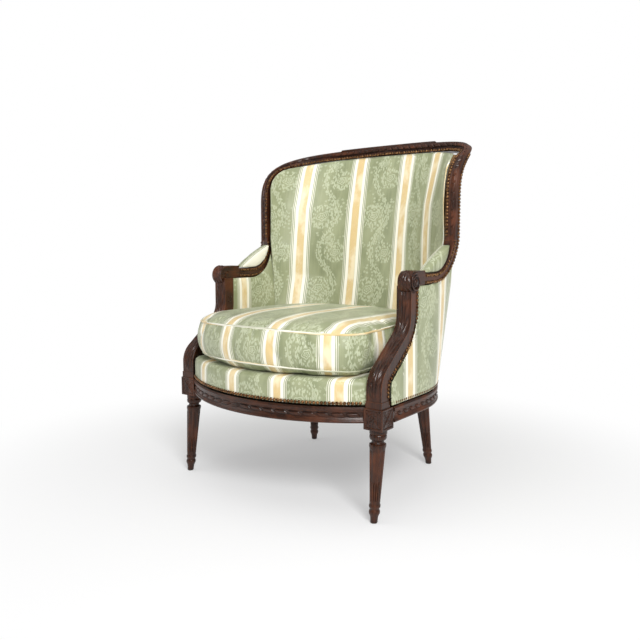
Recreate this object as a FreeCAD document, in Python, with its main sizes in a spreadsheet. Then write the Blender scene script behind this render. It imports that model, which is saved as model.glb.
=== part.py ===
# Gondola bergere chair, millimetres. +Z up, +X to the sitter's left, the chair faces -Y.
# The origin is on the floor, under the middle of the chair.
import FreeCAD, Part
import math
import os
import Sketcher
from FreeCAD import Placement, Rotation, Vector

doc = FreeCAD.newDocument("bergere_chair")

# Driving dimensions, in millimetres, degrees or counts
SIZES = {
    # seat frame
    "rail_top": 280.0,
    "rail_height": 38.6,
    "rail_thickness": 45.0,
    "rail_hollow": 6.0,
    "seat_half_width": 349.0,
    "horseshoe_centre": -54.0,
    "front_point": -353.0,
    "bow_depth": 105.0,
    "rear_joint_angle": 57.0,
    "tenon_length": 19.0,
    "tenon_thickness": 12.0,
    "tenon_height": 24.0,
    "tenon_clearance": 0.2,
    "peg_radius": 3.5,
    "peg_length": 34.0,
    "peg_offset": 6.0,
    "glue_block_size": 40.0,
    "glue_block_height": 30.0,
    "glue_block_set_back": 8.5,
    # front leg blocks
    "block_size": 53.0,
    "block_height": 53.0,
    "block_set_in": 4.0,
    "block_panel_margin": 6.0,
    "block_panel_depth": 2.5,
    # turned legs, heights above the floor
    "front_rake": 5.1,
    "front_splay": 0.5,
    "rear_rake": 5.8,
    "rear_splay": 4.4,
    "rear_leg_angle": 52.7,
    "rear_leg_inset": 18.0,
    "rear_tenon_radius": 11.0,
    "rear_tenon_length": 26.0,
    "foot_radius": 9.0,
    "foot_waist_radius": 9.6,
    "foot_waist_level": 14.0,
    "bead_radius": 13.6,
    "bead_level": 28.0,
    "low_cove_radius": 11.8,
    "low_cove_level": 34.5,
    "low_ring_radius": 14.2,
    "low_ring_level": 42.0,
    "shaft_low_radius": 12.8,
    "shaft_low_level": 47.0,
    "shaft_top_radius": 19.4,
    "shaft_top_level": 184.0,
    "top_ring_radius": 20.5,
    "top_ring_level": 189.5,
    "neck_radius": 14.8,
    "neck_level": 198.0,
    "torus_radius": 20.9,
    "torus_level": 210.0,
    "collar_radius": 21.6,
    "flute_count": 8,
    "flute_radius": 4.2,
    "flute_depth": 2.6,
    "flute_end_gap": 5.0,
    "glide_radius": 7.0,
    "glide_height": 2.0,
    # arm supports
    "support_width": 42.0,
    "support_set_in": 5.0,
    "support_thickness": 36.0,
    "support_foot_set_in": 4.0,
    "support_straight": 45.0,
    "support_bend_radius": 60.0,
    "support_bend_angle": 52.0,
    "support_slope_length": 114.0,
    "support_tenon_depth": 16.0,
    "support_tenon_inset": 4.0,
    "plinth_height": 16.0,
    "plinth_overhang": 1.5,
    # arms
    "arm_height": 312.0,
    "arm_set_in": 12.0,
    "arm_bend_radius": 85.0,
    "scroll_radius": 27.5,
    "scroll_drop": 19.0,
    "scroll_set_back": 17.0,
    "scroll_overhang": 2.5,
    "scroll_eye_radius": 8.0,
    "scroll_eye_height": 1.5,
    "step_reach": 53.0,
    # frame of the back
    "frame_width": 29.0,
    "frame_depth": 28.0,
    "frame_edge": 3.0,
    "frame_flute_depth": 2.0,
    "ribbon_width": 10.0,
    "nail_margin": 9.0,
    "stile_set_in": 1.0,
    "stile_set_back": 165.0,
    "stile_height": 103.0,
    "crest_climb": 199.0,
    "crest_sweep": 224.0,
    "plan_exponent": 2.8,
    "corner_exponent": 3.2,
    "crest_joint_share": 0.82,
    "crest_rise": 4.0,
    "crest_rise_half_width": 172.0,
    "back_rake": 9.0,
    # upholstered wall, shares are of its thickness from the outside
    "wall_set_in": 4.0,
    "wall_arm_proud": 2.0,
    "wall_side_proud": 5.0,
    "wall_crest_proud": 3.0,
    "wall_foot_thickness": 64.0,
    "wall_foot_fullness": 0.552,
    "wall_arm_fullness": 0.69,
    "wall_stile_fullness": 0.455,
    "wall_crest_fullness": 0.77,
    "wall_arm_turn": 3.0,
    "wall_stile_turn": 10.0,
    "wall_stile_set_forward": 8.0,
    "wall_corner_set_in": 5.0,
    "wall_crest_set_out": 4.0,
    "wall_crest_set_forward": 14.0,
    "wall_gap": 0.5,
    "outside_cover_share": 0.04,
    "post_share": 0.06,
    "hessian_share": 0.44,
    "hessian_share_thickness": 0.04,
    "layer_gap": 0.02,
    "stuffing_share": 0.5,
    "inside_cover_share": 0.935,
    "inside_cover_recess": 3.0,
    "post_half_angle": 5.0,
    "back_post_angle": 50.0,
    "arm_post_angle": 20.0,
    "tack_rail_rise": 140.0,
    "tack_rail_height": 35.0,
    # seat build-up
    "web_thickness": 1.4,
    "web_width": 50.0,
    "web_pitch": 92.0,
    "web_count": 5,
    "web_end_inset": 34.0,
    "cross_web_shift": 30.0,
    "seat_hessian_thickness": 0.8,
    "deck_side_gap": 2.0,
    "deck_front_set_in": 4.0,
    "deck_back_gap": 5.0,
    "deck_height": 64.0,
    "deck_edge_radius": 16.0,
    "cover_thickness": 2.0,
    "filling_gap": 0.5,
    "dust_cover_thickness": 1.0,
    "dust_cover_inset": 41.0,
    # loose cushion
    "cushion_side_gap": 1.0,
    "cushion_front_reach": 10.0,
    "cushion_back_gap": 8.0,
    "cushion_gap": 0.4,
    "cushion_front_height": 112.0,
    "cushion_crown": 30.0,
    "cushion_crown_run": 190.0,
    "cushion_draw_in": 14.0,
    "cushion_corner_radius": 75.0,
    # arm pads
    "pad_overhang": 1.0,
    "pad_crown": 6.0,
    "pad_front_gap": 10.0,
    "pad_head_drop": 10.0,
    "pad_edge_radius": 6.0,
    # nails
    "nail_radius": 4.3,
    "nail_dome": 2.2,
    "nail_pitch": 9.3,
    "nail_lift": 0.3,
}

sheet = doc.addObject("Spreadsheet::Sheet", "Sizes")
for row, (alias, number) in enumerate(SIZES.items(), start=1):
    sheet.set(f"A{row}", alias)
    sheet.set(f"B{row}", str(number))
    sheet.setAlias(f"B{row}", alias)
doc.recompute()
size = {alias: float(getattr(sheet, alias)) for alias in SIZES}

UP = Vector(0, 0, 1)
OUT = Vector(1, 0, 0)
OVERLAP = 2.0
pieces = []


def amount(words):
    """Value of a sum of products of named sizes and numbers, such as 'rail_top - 0.5 * web_pitch'."""
    total = 0.0
    for term in words.replace(" - ", " + -1 * ").split(" + "):
        product = 1.0
        for factor in term.split(" * "):
            product *= size[factor] if factor in size else float(factor)
        total += product
    return total


def bind(item, place, words):
    """Tie one property of an object to named sizes of the sheet."""
    terms = []
    for term in words.replace(" - ", " + -1 * ").split(" + "):
        factors = [f"Sizes.{factor}" if factor in size else factor for factor in term.split(" * ")]
        terms.append(" * ".join(factors))
    item.setExpression(place, " + ".join(terms))


def keep(item, label):
    item.Label = label
    pieces.append(item)
    return item


def feature(name, shape):
    item = doc.addObject("Part::Feature", name)
    item.Shape = shape
    return item


def mirrored(source, label):
    """The same piece on the other side of the symmetry plane."""
    item = doc.addObject("Part::Mirroring", label)
    item.Source = source
    item.Base = Vector(0, 0, 0)
    item.Normal = OUT
    return keep(item, label)


def pair(name, shape):
    """Right-hand piece and its mirror image."""
    right = keep(feature(name + "_right", shape), name + "_right")
    mirrored(right, name + "_left")


def both_sides(name, members):
    """One node that holds the members and their mirror images."""
    right = doc.addObject("Part::Compound", name + "_one_side")
    right.Links = members
    left = doc.addObject("Part::Mirroring", name + "_other_side")
    left.Source = right
    left.Normal = OUT
    whole = doc.addObject("Part::Compound", name)
    whole.Links = [right, left]
    keep(whole, name)


def rod(name, radius, length, base, direction):
    """Round rod from a base point, its radius and length tied to named sizes."""
    item = doc.addObject("Part::Cylinder", name)
    bind(item, "Radius", radius)
    bind(item, "Height", length)
    item.Placement = Placement(base, Rotation(UP, direction))
    return item


def block(name, extent, corner):
    """Square block whose three extents are tied to named sizes."""
    item = doc.addObject("Part::Box", name)
    for side, words in zip(("Length", "Width", "Height"), extent):
        bind(item, side, words)
    item.Placement.Base = corner
    return item


def polygon_face(points):
    return Part.Face(Part.makePolygon(list(points) + [points[0]]))


def closed_wire(edges):
    return Part.Wire(Part.__sortEdges__(edges))


def loft(sections, ruled=False):
    return Part.makeLoft(sections, True, ruled)


def blend(low, high, share):
    return low + (high - low) * share


# Levels and lines that several pieces share
rail_bottom = amount("rail_top - rail_height")
block_outer = amount("seat_half_width - block_set_in")
block_inner = amount("seat_half_width - block_set_in - block_size")
block_front = amount("front_point + bow_depth")
block_back = block_front + size["block_size"]
bow_radius = (block_inner ** 2 + size["bow_depth"] ** 2) / (2 * size["bow_depth"])
bow_centre = Vector(0, size["front_point"] + bow_radius, 0)
horseshoe = Vector(0, size["horseshoe_centre"], 0)
arm_top = amount("rail_top + arm_height")
arm_lower = amount("rail_top + arm_height - frame_depth")
arm_outer = amount("seat_half_width - arm_set_in")
arm_inner = arm_outer - size["frame_width"]
stile_outer = amount("seat_half_width - stile_set_in")
stile_front = amount("horseshoe_centre + stile_set_back")
arm_bend = Vector(arm_outer, stile_front - size["arm_bend_radius"], arm_top + size["arm_bend_radius"])
corner_level = arm_bend.z + size["stile_height"]
crest_level = corner_level + size["crest_climb"]
crest_rear = stile_front + size["crest_sweep"] + size["frame_depth"]


# Seat frame
def rail_section(centre, radius):
    """Moulded section of the seat rail, in the plane that points along +X from the arc's centre."""
    low, high = rail_bottom, size["rail_top"]
    third = size["rail_height"] / 3
    fillet, step = 2.0, 1.0

    def at(out, level):
        return centre + Vector(radius + out, 0, level)

    inner = -size["rail_thickness"]
    hollow = -size["rail_hollow"]
    bead_top = low + 0.5 * third
    hollow_low = low + 0.7 * third
    hollow_high = low + 2.1 * third
    edges = [
        Part.makeLine(at(inner, high), at(inner, low)),
        Part.makeLine(at(inner, low), at(-fillet, low)),
        Part.Arc(at(-fillet, low), at(0, (low + bead_top) / 2), at(-fillet, bead_top)).toShape(),
        Part.makeLine(at(-fillet, bead_top), at(-fillet - step, hollow_low)),
        Part.Arc(at(-fillet - step, hollow_low), at(hollow, (hollow_low + hollow_high) / 2),
                 at(-fillet - step, hollow_high)).toShape(),
        Part.makeLine(at(-fillet - step, hollow_high), at(-step, hollow_high + step)),
        Part.makeLine(at(-step, hollow_high + step), at(-step, high - 2 * fillet)),
        Part.makeLine(at(-step, high - 2 * fillet), at(-2 * fillet, high)),
        Part.makeLine(at(-2 * fillet, high), at(inner, high)),
    ]
    return Part.Face(Part.Wire(edges))


def swept_rail(centre, radius, start, end):
    section = rail_section(centre, radius)
    section.rotate(centre, UP, start)
    return section.revolve(centre, UP, end - start)


def tenon_box(clearance, rail):
    """Tenon of a rail in the right-hand leg block, grown by a clearance for its mortise."""
    wide = size["tenon_thickness"] + 2 * clearance
    tall = size["tenon_height"] + 2 * clearance
    deep = size["tenon_length"] + clearance
    low = tenon_level - tall / 2
    if rail == "front":
        corner = Vector(block_inner - OVERLAP, front_tenon_y - wide / 2, low)
        return Part.makeBox(deep + OVERLAP, wide, tall, corner)
    return Part.makeBox(wide, deep + OVERLAP, tall, Vector(side_tenon_x - wide / 2, block_back - deep, low))


def peg(rail, clearance=0.0):
    """Peg through a tenon: from the hidden back or inner face of the block."""
    reach = size["tenon_length"] / 2
    if rail == "front":
        base = Vector(block_inner + reach, block_back, tenon_level + size["peg_offset"])
        direction = Vector(0, -1, 0)
    else:
        base = Vector(block_inner, block_back - reach, tenon_level - size["peg_offset"])
        direction = OUT
    if clearance:
        radius = size["peg_radius"] + clearance
        return Part.makeCylinder(radius, size["peg_length"] + clearance, base, direction)
    return rod("peg_" + rail, "peg_radius", "peg_length", base, direction)


tenon_level = amount("rail_top - 0.5 * rail_height")
front_tenon_y = block_front + 0.45 * size["block_size"]
side_tenon_x = block_outer - 0.42 * size["block_size"]


def front_rail():
    """Bowed rail between the two blocks, with a tenon at each end."""
    reach = math.degrees(math.asin(block_inner / bow_radius)) + 8
    bow = swept_rail(bow_centre, bow_radius, -90 - reach, -90 + reach)
    room = 2 * size["bow_depth"] + size["rail_thickness"]
    span = Part.makeBox(2 * block_inner, 2 * room, size["rail_top"],
                        Vector(-block_inner, size["front_point"] - room, 0))
    right = tenon_box(0, "front").cut(peg("front", size["tenon_clearance"]))
    left = right.mirror(Vector(0, 0, 0), OUT)
    return bow.common(span).fuse([right, left]).removeSplitter()


def side_rail():
    """Right-hand rail: straight behind the block, then round to the joint behind the rear leg."""
    radius = size["seat_half_width"]
    straight = rail_section(horseshoe, radius).extrude(Vector(0, block_back - size["horseshoe_centre"], 0))
    curved = swept_rail(horseshoe, radius, 0, size["rear_joint_angle"])
    tenon = tenon_box(0, "side").cut(peg("side", size["tenon_clearance"]))
    rail = straight.fuse([curved, tenon]).removeSplitter()
    return rail.cut(rear_tenon(size["tenon_clearance"]))


def glue_block():
    """Corner block glued behind the leg block and the front rail."""
    extent = ("glue_block_size", "glue_block_size", "glue_block_height")
    corner = Vector(block_outer - size["rail_thickness"] - size["glue_block_size"] + size["block_set_in"],
                    block_back + size["glue_block_set_back"], rail_bottom + 2)
    return block("glue_block", extent, corner)


# Legs
def rear_leg_top():
    angle = math.radians(size["rear_leg_angle"])
    radius = size["seat_half_width"] - size["rear_leg_inset"]
    return horseshoe + Vector(radius * math.cos(angle), radius * math.sin(angle), rail_bottom)


def rear_tenon(clearance):
    """Round tenon that holds the rear leg in the side rail."""
    return Part.makeCylinder(size["rear_tenon_radius"] + clearance,
                             size["rear_tenon_length"] + OVERLAP + clearance,
                             rear_leg_top() - UP * OVERLAP)


def turned_body(name, top_words):
    """Body with one revolved sketch: the turned leg from below the floor up to its shoulder."""
    body = doc.addObject("PartDesign::Body", name)
    sketch = body.newObject("Sketcher::SketchObject", name + "_outline")
    plane = [item for item in body.Origin.OriginFeatures if item.Role == "XZ_Plane"][0]
    sketch.AttachmentSupport = (plane, "")
    sketch.MapMode = "FlatFace"
    below_floor = "-4"
    corners = [
        (None, below_floor),
        ("foot_radius", below_floor),
        ("foot_radius", "glide_height"),
        ("foot_waist_radius", "foot_waist_level"),
        ("bead_radius", "bead_level - 4"),
        ("bead_radius", "bead_level + 2"),
        ("low_cove_radius", "low_cove_level"),
        ("low_ring_radius", "low_ring_level - 3"),
        ("low_ring_radius", "low_ring_level + 2"),
        ("shaft_low_radius", "shaft_low_level"),
        ("shaft_top_radius", "shaft_top_level"),
        ("top_ring_radius", "top_ring_level - 3"),
        ("top_ring_radius", "top_ring_level + 2"),
        ("neck_radius", "neck_level - 2"),
        ("neck_radius", "neck_level + 2"),
        ("torus_radius", "torus_level - 4"),
        ("torus_radius", "torus_level + 3"),
        ("collar_radius", "torus_level + 6"),
        ("collar_radius", top_words),
        (None, top_words),
    ]
    points = [Vector(amount(radius) if radius else 0, amount(level), 0) for radius, level in corners]
    for point, following in zip(points, points[1:] + points[:1]):
        sketch.addGeometry(Part.LineSegment(point, following))
    for line in range(len(points)):
        sketch.addConstraint(Sketcher.Constraint("Coincident", line, 2, (line + 1) % len(points), 1))
    for line, (radius, level) in enumerate(corners):
        if radius:
            place = sketch.addConstraint(Sketcher.Constraint("DistanceX", -1, 1, line, 1, points[line].x))
            bind(sketch, f"Constraints[{place}]", radius)
        else:
            sketch.addConstraint(Sketcher.Constraint("PointOnObject", line, 1, -2))
        place = sketch.addConstraint(Sketcher.Constraint("DistanceY", -1, 1, line, 1, points[line].y))
        bind(sketch, f"Constraints[{place}]", level)
    turning = body.newObject("PartDesign::Revolution", name + "_turning")
    turning.Profile = sketch
    turning.ReferenceAxis = (sketch, ["V_Axis"])
    turning.Angle = 360
    body.Tip = turning
    return body


def flute_cutters():
    """Round-ended rods that cut the flutes of the tapering shaft."""
    low = size["shaft_low_level"] + size["flute_end_gap"]
    high = size["shaft_top_level"] - size["flute_end_gap"]
    run = size["shaft_top_level"] - size["shaft_low_level"]
    taper = (size["shaft_top_radius"] - size["shaft_low_radius"]) / run
    outset = size["flute_radius"] - size["flute_depth"]
    foot = Vector(size["shaft_low_radius"] + taper * (low - size["shaft_low_level"]) + outset, 0, low)
    head = Vector(size["shaft_low_radius"] + taper * (high - size["shaft_low_level"]) + outset, 0, high)
    axis = head - foot
    flute = Part.makeCone(0.75 * size["flute_radius"], size["flute_radius"], axis.Length, foot, axis)
    flute = flute.fuse(Part.makeSphere(size["flute_radius"], head))
    flutes = []
    for number in range(int(size["flute_count"])):
        turned = flute.copy()
        turned.rotate(Vector(0, 0, 0), UP, 360 * number / size["flute_count"])
        flutes.append(turned)
    return Part.makeCompound(flutes)


def raked_leg(name, top_words, rake, splay):
    """Turned and fluted leg on the line X = Y = 0 at its top, leaning outwards, cut flat for its glide."""
    body = turned_body(name + "_body", top_words)
    fluted = doc.addObject("Part::Cut", name + "_fluted")
    fluted.Base = body
    fluted.Tool = feature(name + "_flutes", flute_cutters())
    doc.recompute()
    shape = fluted.Shape.copy()
    pivot = Vector(0, 0, amount(top_words))
    shape.rotate(pivot, OUT, rake)
    shape.rotate(pivot, Vector(0, 1, 0), -splay)
    room = Part.makeBox(400, 400, 400, Vector(-200, -200, size["glide_height"]))
    return shape.common(room)


def foot_glide(name, top, rake, splay):
    """Metal glide under a leaning leg whose top is given."""
    centre = Vector(top.x + top.z * math.tan(math.radians(splay)),
                    top.y + top.z * math.tan(math.radians(rake)), 0)
    return rod(name, "glide_radius", "glide_height", centre, UP)


def front_leg_top():
    half = size["block_size"] / 2
    return Vector(block_outer - half, block_front + half, size["rail_top"] - size["block_height"])


def front_leg():
    """Right-hand front leg: one piece of wood with its square block."""
    top = front_leg_top()
    leg = raked_leg("front_leg", "rail_top - block_height", -size["front_rake"], size["front_splay"])
    leg.translate(Vector(top.x, top.y, 0))
    square = Part.makeBox(size["block_size"], size["block_size"], size["block_height"],
                          Vector(block_inner, block_front, top.z))
    margin, deep = size["block_panel_margin"], size["block_panel_depth"]
    field = size["block_size"] - 2 * margin
    tall = size["block_height"] - 2 * margin
    front_panel = Part.makeBox(field, deep, tall, Vector(block_inner + margin, block_front, top.z + margin))
    side_panel = Part.makeBox(deep, field, tall,
                              Vector(block_outer - deep, block_front + margin, top.z + margin))
    holes = [support_tenon(size["tenon_clearance"])]
    for rail in ("front", "side"):
        holes.append(tenon_box(size["tenon_clearance"], rail))
        holes.append(peg(rail, size["tenon_clearance"]))
    return leg.fuse(square).removeSplitter().cut([front_panel, side_panel] + holes)


def rear_leg():
    """Right-hand rear leg, cut level under the rail, with its round tenon."""
    leg = raked_leg("rear_leg", "rail_top - rail_height", size["rear_rake"], size["rear_splay"])
    top = rear_leg_top()
    leg.translate(Vector(top.x, top.y, 0))
    rail_room = Part.makeBox(100, 100, 60, top - Vector(50, 50, 0.05))
    return leg.cut(rail_room).fuse(rear_tenon(0)).removeSplitter()


# Arm support: two bends with a slope between them, seen from the side
support_front = block_front + size["support_foot_set_in"]
support_outer = block_outer - size["support_set_in"]
support_inner = support_outer - size["support_width"]


def support_edge(set_back):
    """Front edge of the arm support, or a line set back from it, from the block to the arm."""
    radius = size["support_bend_radius"]
    bend = math.radians(size["support_bend_angle"])
    low = size["rail_top"] + size["support_straight"]
    first = Vector(0, support_front + radius, low)
    slope = Vector(0, math.sin(bend), math.cos(bend)) * size["support_slope_length"]
    leave = Vector(0, -math.cos(bend), math.sin(bend))
    second = first + slope + leave * (2 * radius)
    points = []
    for share in (0, 0.5, 1):
        turn = bend * share
        points.append(first + Vector(0, -math.cos(turn), math.sin(turn)) * (radius - set_back))
    for share in (1, 0.5, 0):
        turn = bend * share
        points.append(second - Vector(0, -math.cos(turn), math.sin(turn)) * (radius + set_back))
    start = Vector(0, support_front + set_back, size["rail_top"])
    end = Vector(0, points[-1].y, arm_lower)
    return [
        Part.makeLine(start, points[0]),
        Part.Arc(points[0], points[1], points[2]).toShape(),
        Part.makeLine(points[2], points[3]),
        Part.Arc(points[3], points[4], points[5]).toShape(),
        Part.makeLine(points[5], end),
    ]


def edge_ends(edges):
    return edges[0].Vertexes[0].Point, edges[-1].Vertexes[-1].Point


def support_tenon(clearance):
    """Square tenon of the support in the leg block, grown by a clearance for its mortise."""
    wide = size["tenon_thickness"] + 2 * clearance
    deep = size["support_tenon_depth"] + clearance
    inset = size["support_tenon_inset"] - clearance
    corner = Vector(support_outer - inset - wide, support_front + inset, size["rail_top"] - deep)
    return Part.makeBox(wide, wide, deep + OVERLAP, corner)


def arm_support():
    """Right-hand S-shaped arm support on its small plinth."""
    front = support_edge(0)
    back = support_edge(size["support_thickness"])
    foot_front, head_front = edge_ends(front)
    foot_back, head_back = edge_ends(back)
    outline = front + [Part.makeLine(head_front, head_back)] + back + [Part.makeLine(foot_back, foot_front)]
    face = Part.Face(closed_wire(outline))
    face.translate(Vector(support_inner, 0, 0))
    body = face.extrude(Vector(size["support_width"], 0, 0))
    over = size["plinth_overhang"]
    corner = Vector(support_inner - over, support_front - over, size["rail_top"])
    plinth = Part.makeBox(size["support_width"] + 2 * over, size["support_thickness"] + over,
                          size["plinth_height"], corner)
    return body.fuse([plinth, support_tenon(0)]).removeSplitter()


# Frame of the arms and back: a moulded section carried along a path
def arm_place(turn):
    """Outer top edge of the arm where it curves up: turn 0 is level, 90 upright."""
    angle = math.radians(turn)
    radius = size["arm_bend_radius"]
    return Vector(blend(arm_outer, stile_outer, 1 - math.cos(angle)),
                  arm_bend.y + radius * math.sin(angle),
                  arm_bend.z - radius * math.cos(angle))


def arm_axes(turn):
    angle = math.radians(turn)
    return OUT, Vector(0, -math.sin(angle), math.cos(angle))


def crest_place(share):
    """Outer front edge of the back frame: share 0 at the top of the stile, 1 at the middle of the crest."""
    rounding = size["plan_exponent"]
    sine = share ** size["corner_exponent"]
    cosine = max(0.0, 1 - sine ** rounding) ** (1 / rounding)
    return Vector(stile_outer * cosine, stile_front + size["crest_sweep"] * sine,
                  blend(corner_level, crest_level, share))


def crest_axes(share):
    """Direction across the frame's face and direction out of its face."""
    step = 0.004
    along = crest_place(min(1.0, share + step)) - crest_place(max(0.0, share - step))
    if share >= 1.0:
        along = -OUT
    if share <= 0.0:
        along = UP
    along.normalize()
    lean = math.radians(size["back_rake"]) * share
    front = Vector(0, -math.cos(lean), math.sin(lean))
    across = along.cross(front)
    across.normalize()
    return across, front


def frame_section(place, axes, rise=0.0):
    """Closed outline of the moulded frame: ribbon band, flute and nail margin on its face."""
    across, front = axes
    wide, deep, edge = size["frame_width"], size["frame_depth"], size["frame_edge"]
    flute = size["frame_flute_depth"]
    ribbon, margin = size["ribbon_width"], size["nail_margin"]
    corners = [
        (-wide, -deep), (rise - edge, -deep), (rise, edge - deep), (rise, -edge), (rise - edge, 0),
        (-ribbon, 0), (-ribbon - flute, -flute), (margin + flute - wide, -flute),
        (margin - wide, 0), (-wide, 0),
    ]
    points = [place + across * u + front * n for u, n in corners]
    return Part.makePolygon(points + [points[0]])


scroll_centre = Vector(arm_inner, edge_ends(support_edge(0))[1].y + size["scroll_set_back"],
                       arm_top - size["scroll_drop"])
step_y = scroll_centre.y + size["step_reach"]


def arm():
    """Right-hand arm: scroll with its eye, raised heel and curve up to the stile."""
    turns = (0, 18, 36, 54, 72, 90)
    curved = loft([frame_section(arm_place(turn), arm_axes(turn)) for turn in turns])
    start = arm_place(0)
    front_end = Vector(start.x, scroll_centre.y, start.z)
    level = loft([frame_section(front_end, arm_axes(0)), frame_section(start, arm_axes(0))], True)
    over = size["scroll_overhang"]
    width = size["frame_width"] + 2 * over
    centre = scroll_centre - OUT * over
    scroll = Part.makeCylinder(size["scroll_radius"], width, centre, OUT)
    top = scroll_centre.z + size["scroll_radius"]
    heel = Part.makeBox(width, size["step_reach"], top - arm_lower, Vector(centre.x, centre.y, arm_lower))
    lift = size["scroll_eye_height"]
    eye = Part.makeCylinder(size["scroll_eye_radius"], width + 2 * lift, centre - OUT * lift, OUT)
    member = curved.fuse([level, scroll, heel, eye])
    head_front = edge_ends(support_edge(0))[1]
    behind = Part.makeBox(2 * size["support_width"], size["scroll_radius"] * 4, size["scroll_radius"] * 2,
                          Vector(support_inner - size["support_width"] / 2, head_front.y,
                                 arm_lower - size["scroll_radius"] * 2))
    return member.cut(behind).removeSplitter()


def stile():
    """Right-hand stile: straight above the arm, then round the corner to the crest joint."""
    shares = [0, 0.12, 0.24, 0.36, 0.48, 0.6, 0.7, size["crest_joint_share"]]
    corner = Vector(stile_outer, stile_front, corner_level)
    lower = loft([frame_section(arm_place(90), crest_axes(0)), frame_section(corner, crest_axes(0))], True)
    upper = loft([frame_section(crest_place(share), crest_axes(share)) for share in shares])
    return lower.fuse(upper).removeSplitter()


def crest_half(first, steps=6):
    """Places and directions along half the crest, evenly spaced by their angle in plan."""
    start = math.asin(first ** size["corner_exponent"])
    half = []
    for step in range(steps + 1):
        share = math.sin(blend(start, math.pi / 2, step / steps)) ** (1 / size["corner_exponent"])
        half.append((crest_place(share), crest_axes(share)))
    return half


def flipped(place, axes):
    across, front = axes
    return (Vector(-place.x, place.y, place.z),
            (Vector(-across.x, across.y, across.z), Vector(-front.x, front.y, front.z)))


def crest():
    """Crest rail from joint to joint, with a slightly raised middle."""
    rounding = size["plan_exponent"]
    reach = size["crest_rise_half_width"] / stile_outer
    raised_share = ((1 - reach ** rounding) ** (1 / rounding)) ** (1 / size["corner_exponent"])
    rails = []
    for first, rise in ((size["crest_joint_share"], 0.0), (raised_share, size["crest_rise"])):
        half = crest_half(first)
        whole = half + [flipped(place, axes) for place, axes in reversed(half[:-1])]
        rails.append(loft([frame_section(place, axes, rise) for place, axes in whole]))
    return rails[0].fuse(rails[1]).removeSplitter()


# Upholstered wall: nested horseshoes between the outside and the inside surface
wall_foot = amount("rail_top + 2 * web_thickness + seat_hessian_thickness + wall_gap")
wall_back_foot = size["horseshoe_centre"] + size["seat_half_width"] - size["wall_set_in"]
wall_side_thickness = size["frame_width"] + size["wall_side_proud"]
wall_crest_thickness = size["frame_depth"] + size["wall_crest_proud"]
# Level, half width outside, start of the curve in plan, its fullness and the angle it starts at
WALL_STATIONS = [
    (size["rail_top"], size["seat_half_width"] - size["wall_set_in"], size["horseshoe_centre"],
     size["wall_foot_fullness"], 0.0),
    (arm_lower, arm_outer + size["wall_arm_proud"], arm_bend.y,
     size["wall_arm_fullness"], size["wall_arm_turn"]),
    (arm_bend.z, stile_outer, stile_front - size["wall_stile_set_forward"],
     size["wall_stile_fullness"], size["wall_stile_turn"]),
    (corner_level, stile_outer - size["wall_corner_set_in"], stile_front,
     size["wall_stile_fullness"], size["wall_stile_turn"]),
    (crest_level, stile_outer + size["wall_crest_set_out"], stile_front - size["wall_crest_set_forward"],
     size["wall_crest_fullness"], 0.0),
]


def wall_shape(level, share):
    """Plan of the wall at a level and a share of its thickness: half width, start of the curve,
    middle of the back, fullness of the curve and the angle it starts at."""
    for low, high in zip(WALL_STATIONS, WALL_STATIONS[1:]):
        if level <= high[0]:
            break
    part = (level - low[0]) / (high[0] - low[0])
    half, start, full, turn = [blend(first, second, part) for first, second in zip(low[1:], high[1:])]
    rise = (level - size["rail_top"]) / (crest_level - size["rail_top"])
    outer = blend(wall_back_foot, crest_rear, rise)
    thick = blend(size["wall_foot_thickness"], wall_crest_thickness, rise)
    return half - wall_side_thickness * share, start, outer - thick * share, full, turn * (1 - share)


def quarter_poles(plan, level, side):
    """Poles of one quarter of the curved back, from the side to the middle."""
    half, start, middle, full, turn = plan
    run = full * (middle - start)
    turned_in = run * math.tan(math.radians(turn))
    return [Vector(side * half, start, level),
            Vector(side * (half - turned_in), start + run, level),
            Vector(side * half * full, middle, level),
            Vector(0, middle, level)]


def curved_back(plan, level):
    """Curved back as two edges, right quarter and left quarter."""
    edges = []
    for side in (1, -1):
        curve = Part.BezierCurve()
        curve.setPoles(quarter_poles(plan, level, side))
        edges.append(curve.toShape())
    return edges


def wall_point(level, share, travel):
    """Point on the curved back of a wall surface: travel 0 at the right side, 1 at the middle, 2 left."""
    side = 1 if travel <= 1 else -1
    part = travel if travel <= 1 else 2 - travel
    poles = quarter_poles(wall_shape(level, share), level, side)
    weights = [(1 - part) ** 3, 3 * part * (1 - part) ** 2, 3 * part ** 2 * (1 - part), part ** 3]
    point = Vector(0, 0, 0)
    for pole, weight in zip(poles, weights):
        point = point + pole * weight
    return point


def horseshoe_wire(level, outer_share, inner_share):
    """Closed band between two shares of the wall's thickness, open to the front."""
    front = block_front - 20
    edges = []
    ends = []
    for share in (outer_share, inner_share):
        plan = wall_shape(level, share)
        half, start = plan[:2]
        edges += curved_back(plan, level)
        for side in (1, -1):
            edges.append(Part.makeLine(Vector(side * half, front, level), Vector(side * half, start, level)))
        ends.append(half)
    outer, inner = ends
    for side in (1, -1):
        edges.append(Part.makeLine(Vector(side * outer, front, level), Vector(side * inner, front, level)))
    return closed_wire(edges)


def wall_layer(outer_share, inner_share, low=wall_foot, high=crest_level):
    """Solid layer of the wall between two levels."""
    levels = [low] + [station[0] for station in WALL_STATIONS if low < station[0] < high] + [high]
    wires = [horseshoe_wire(level, outer_share, inner_share) for level in levels]
    slabs = [loft([first, second], True) for first, second in zip(wires, wires[1:])]
    return slabs[0].fuse(slabs[1:]).removeSplitter() if slabs[1:] else slabs[0]


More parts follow.
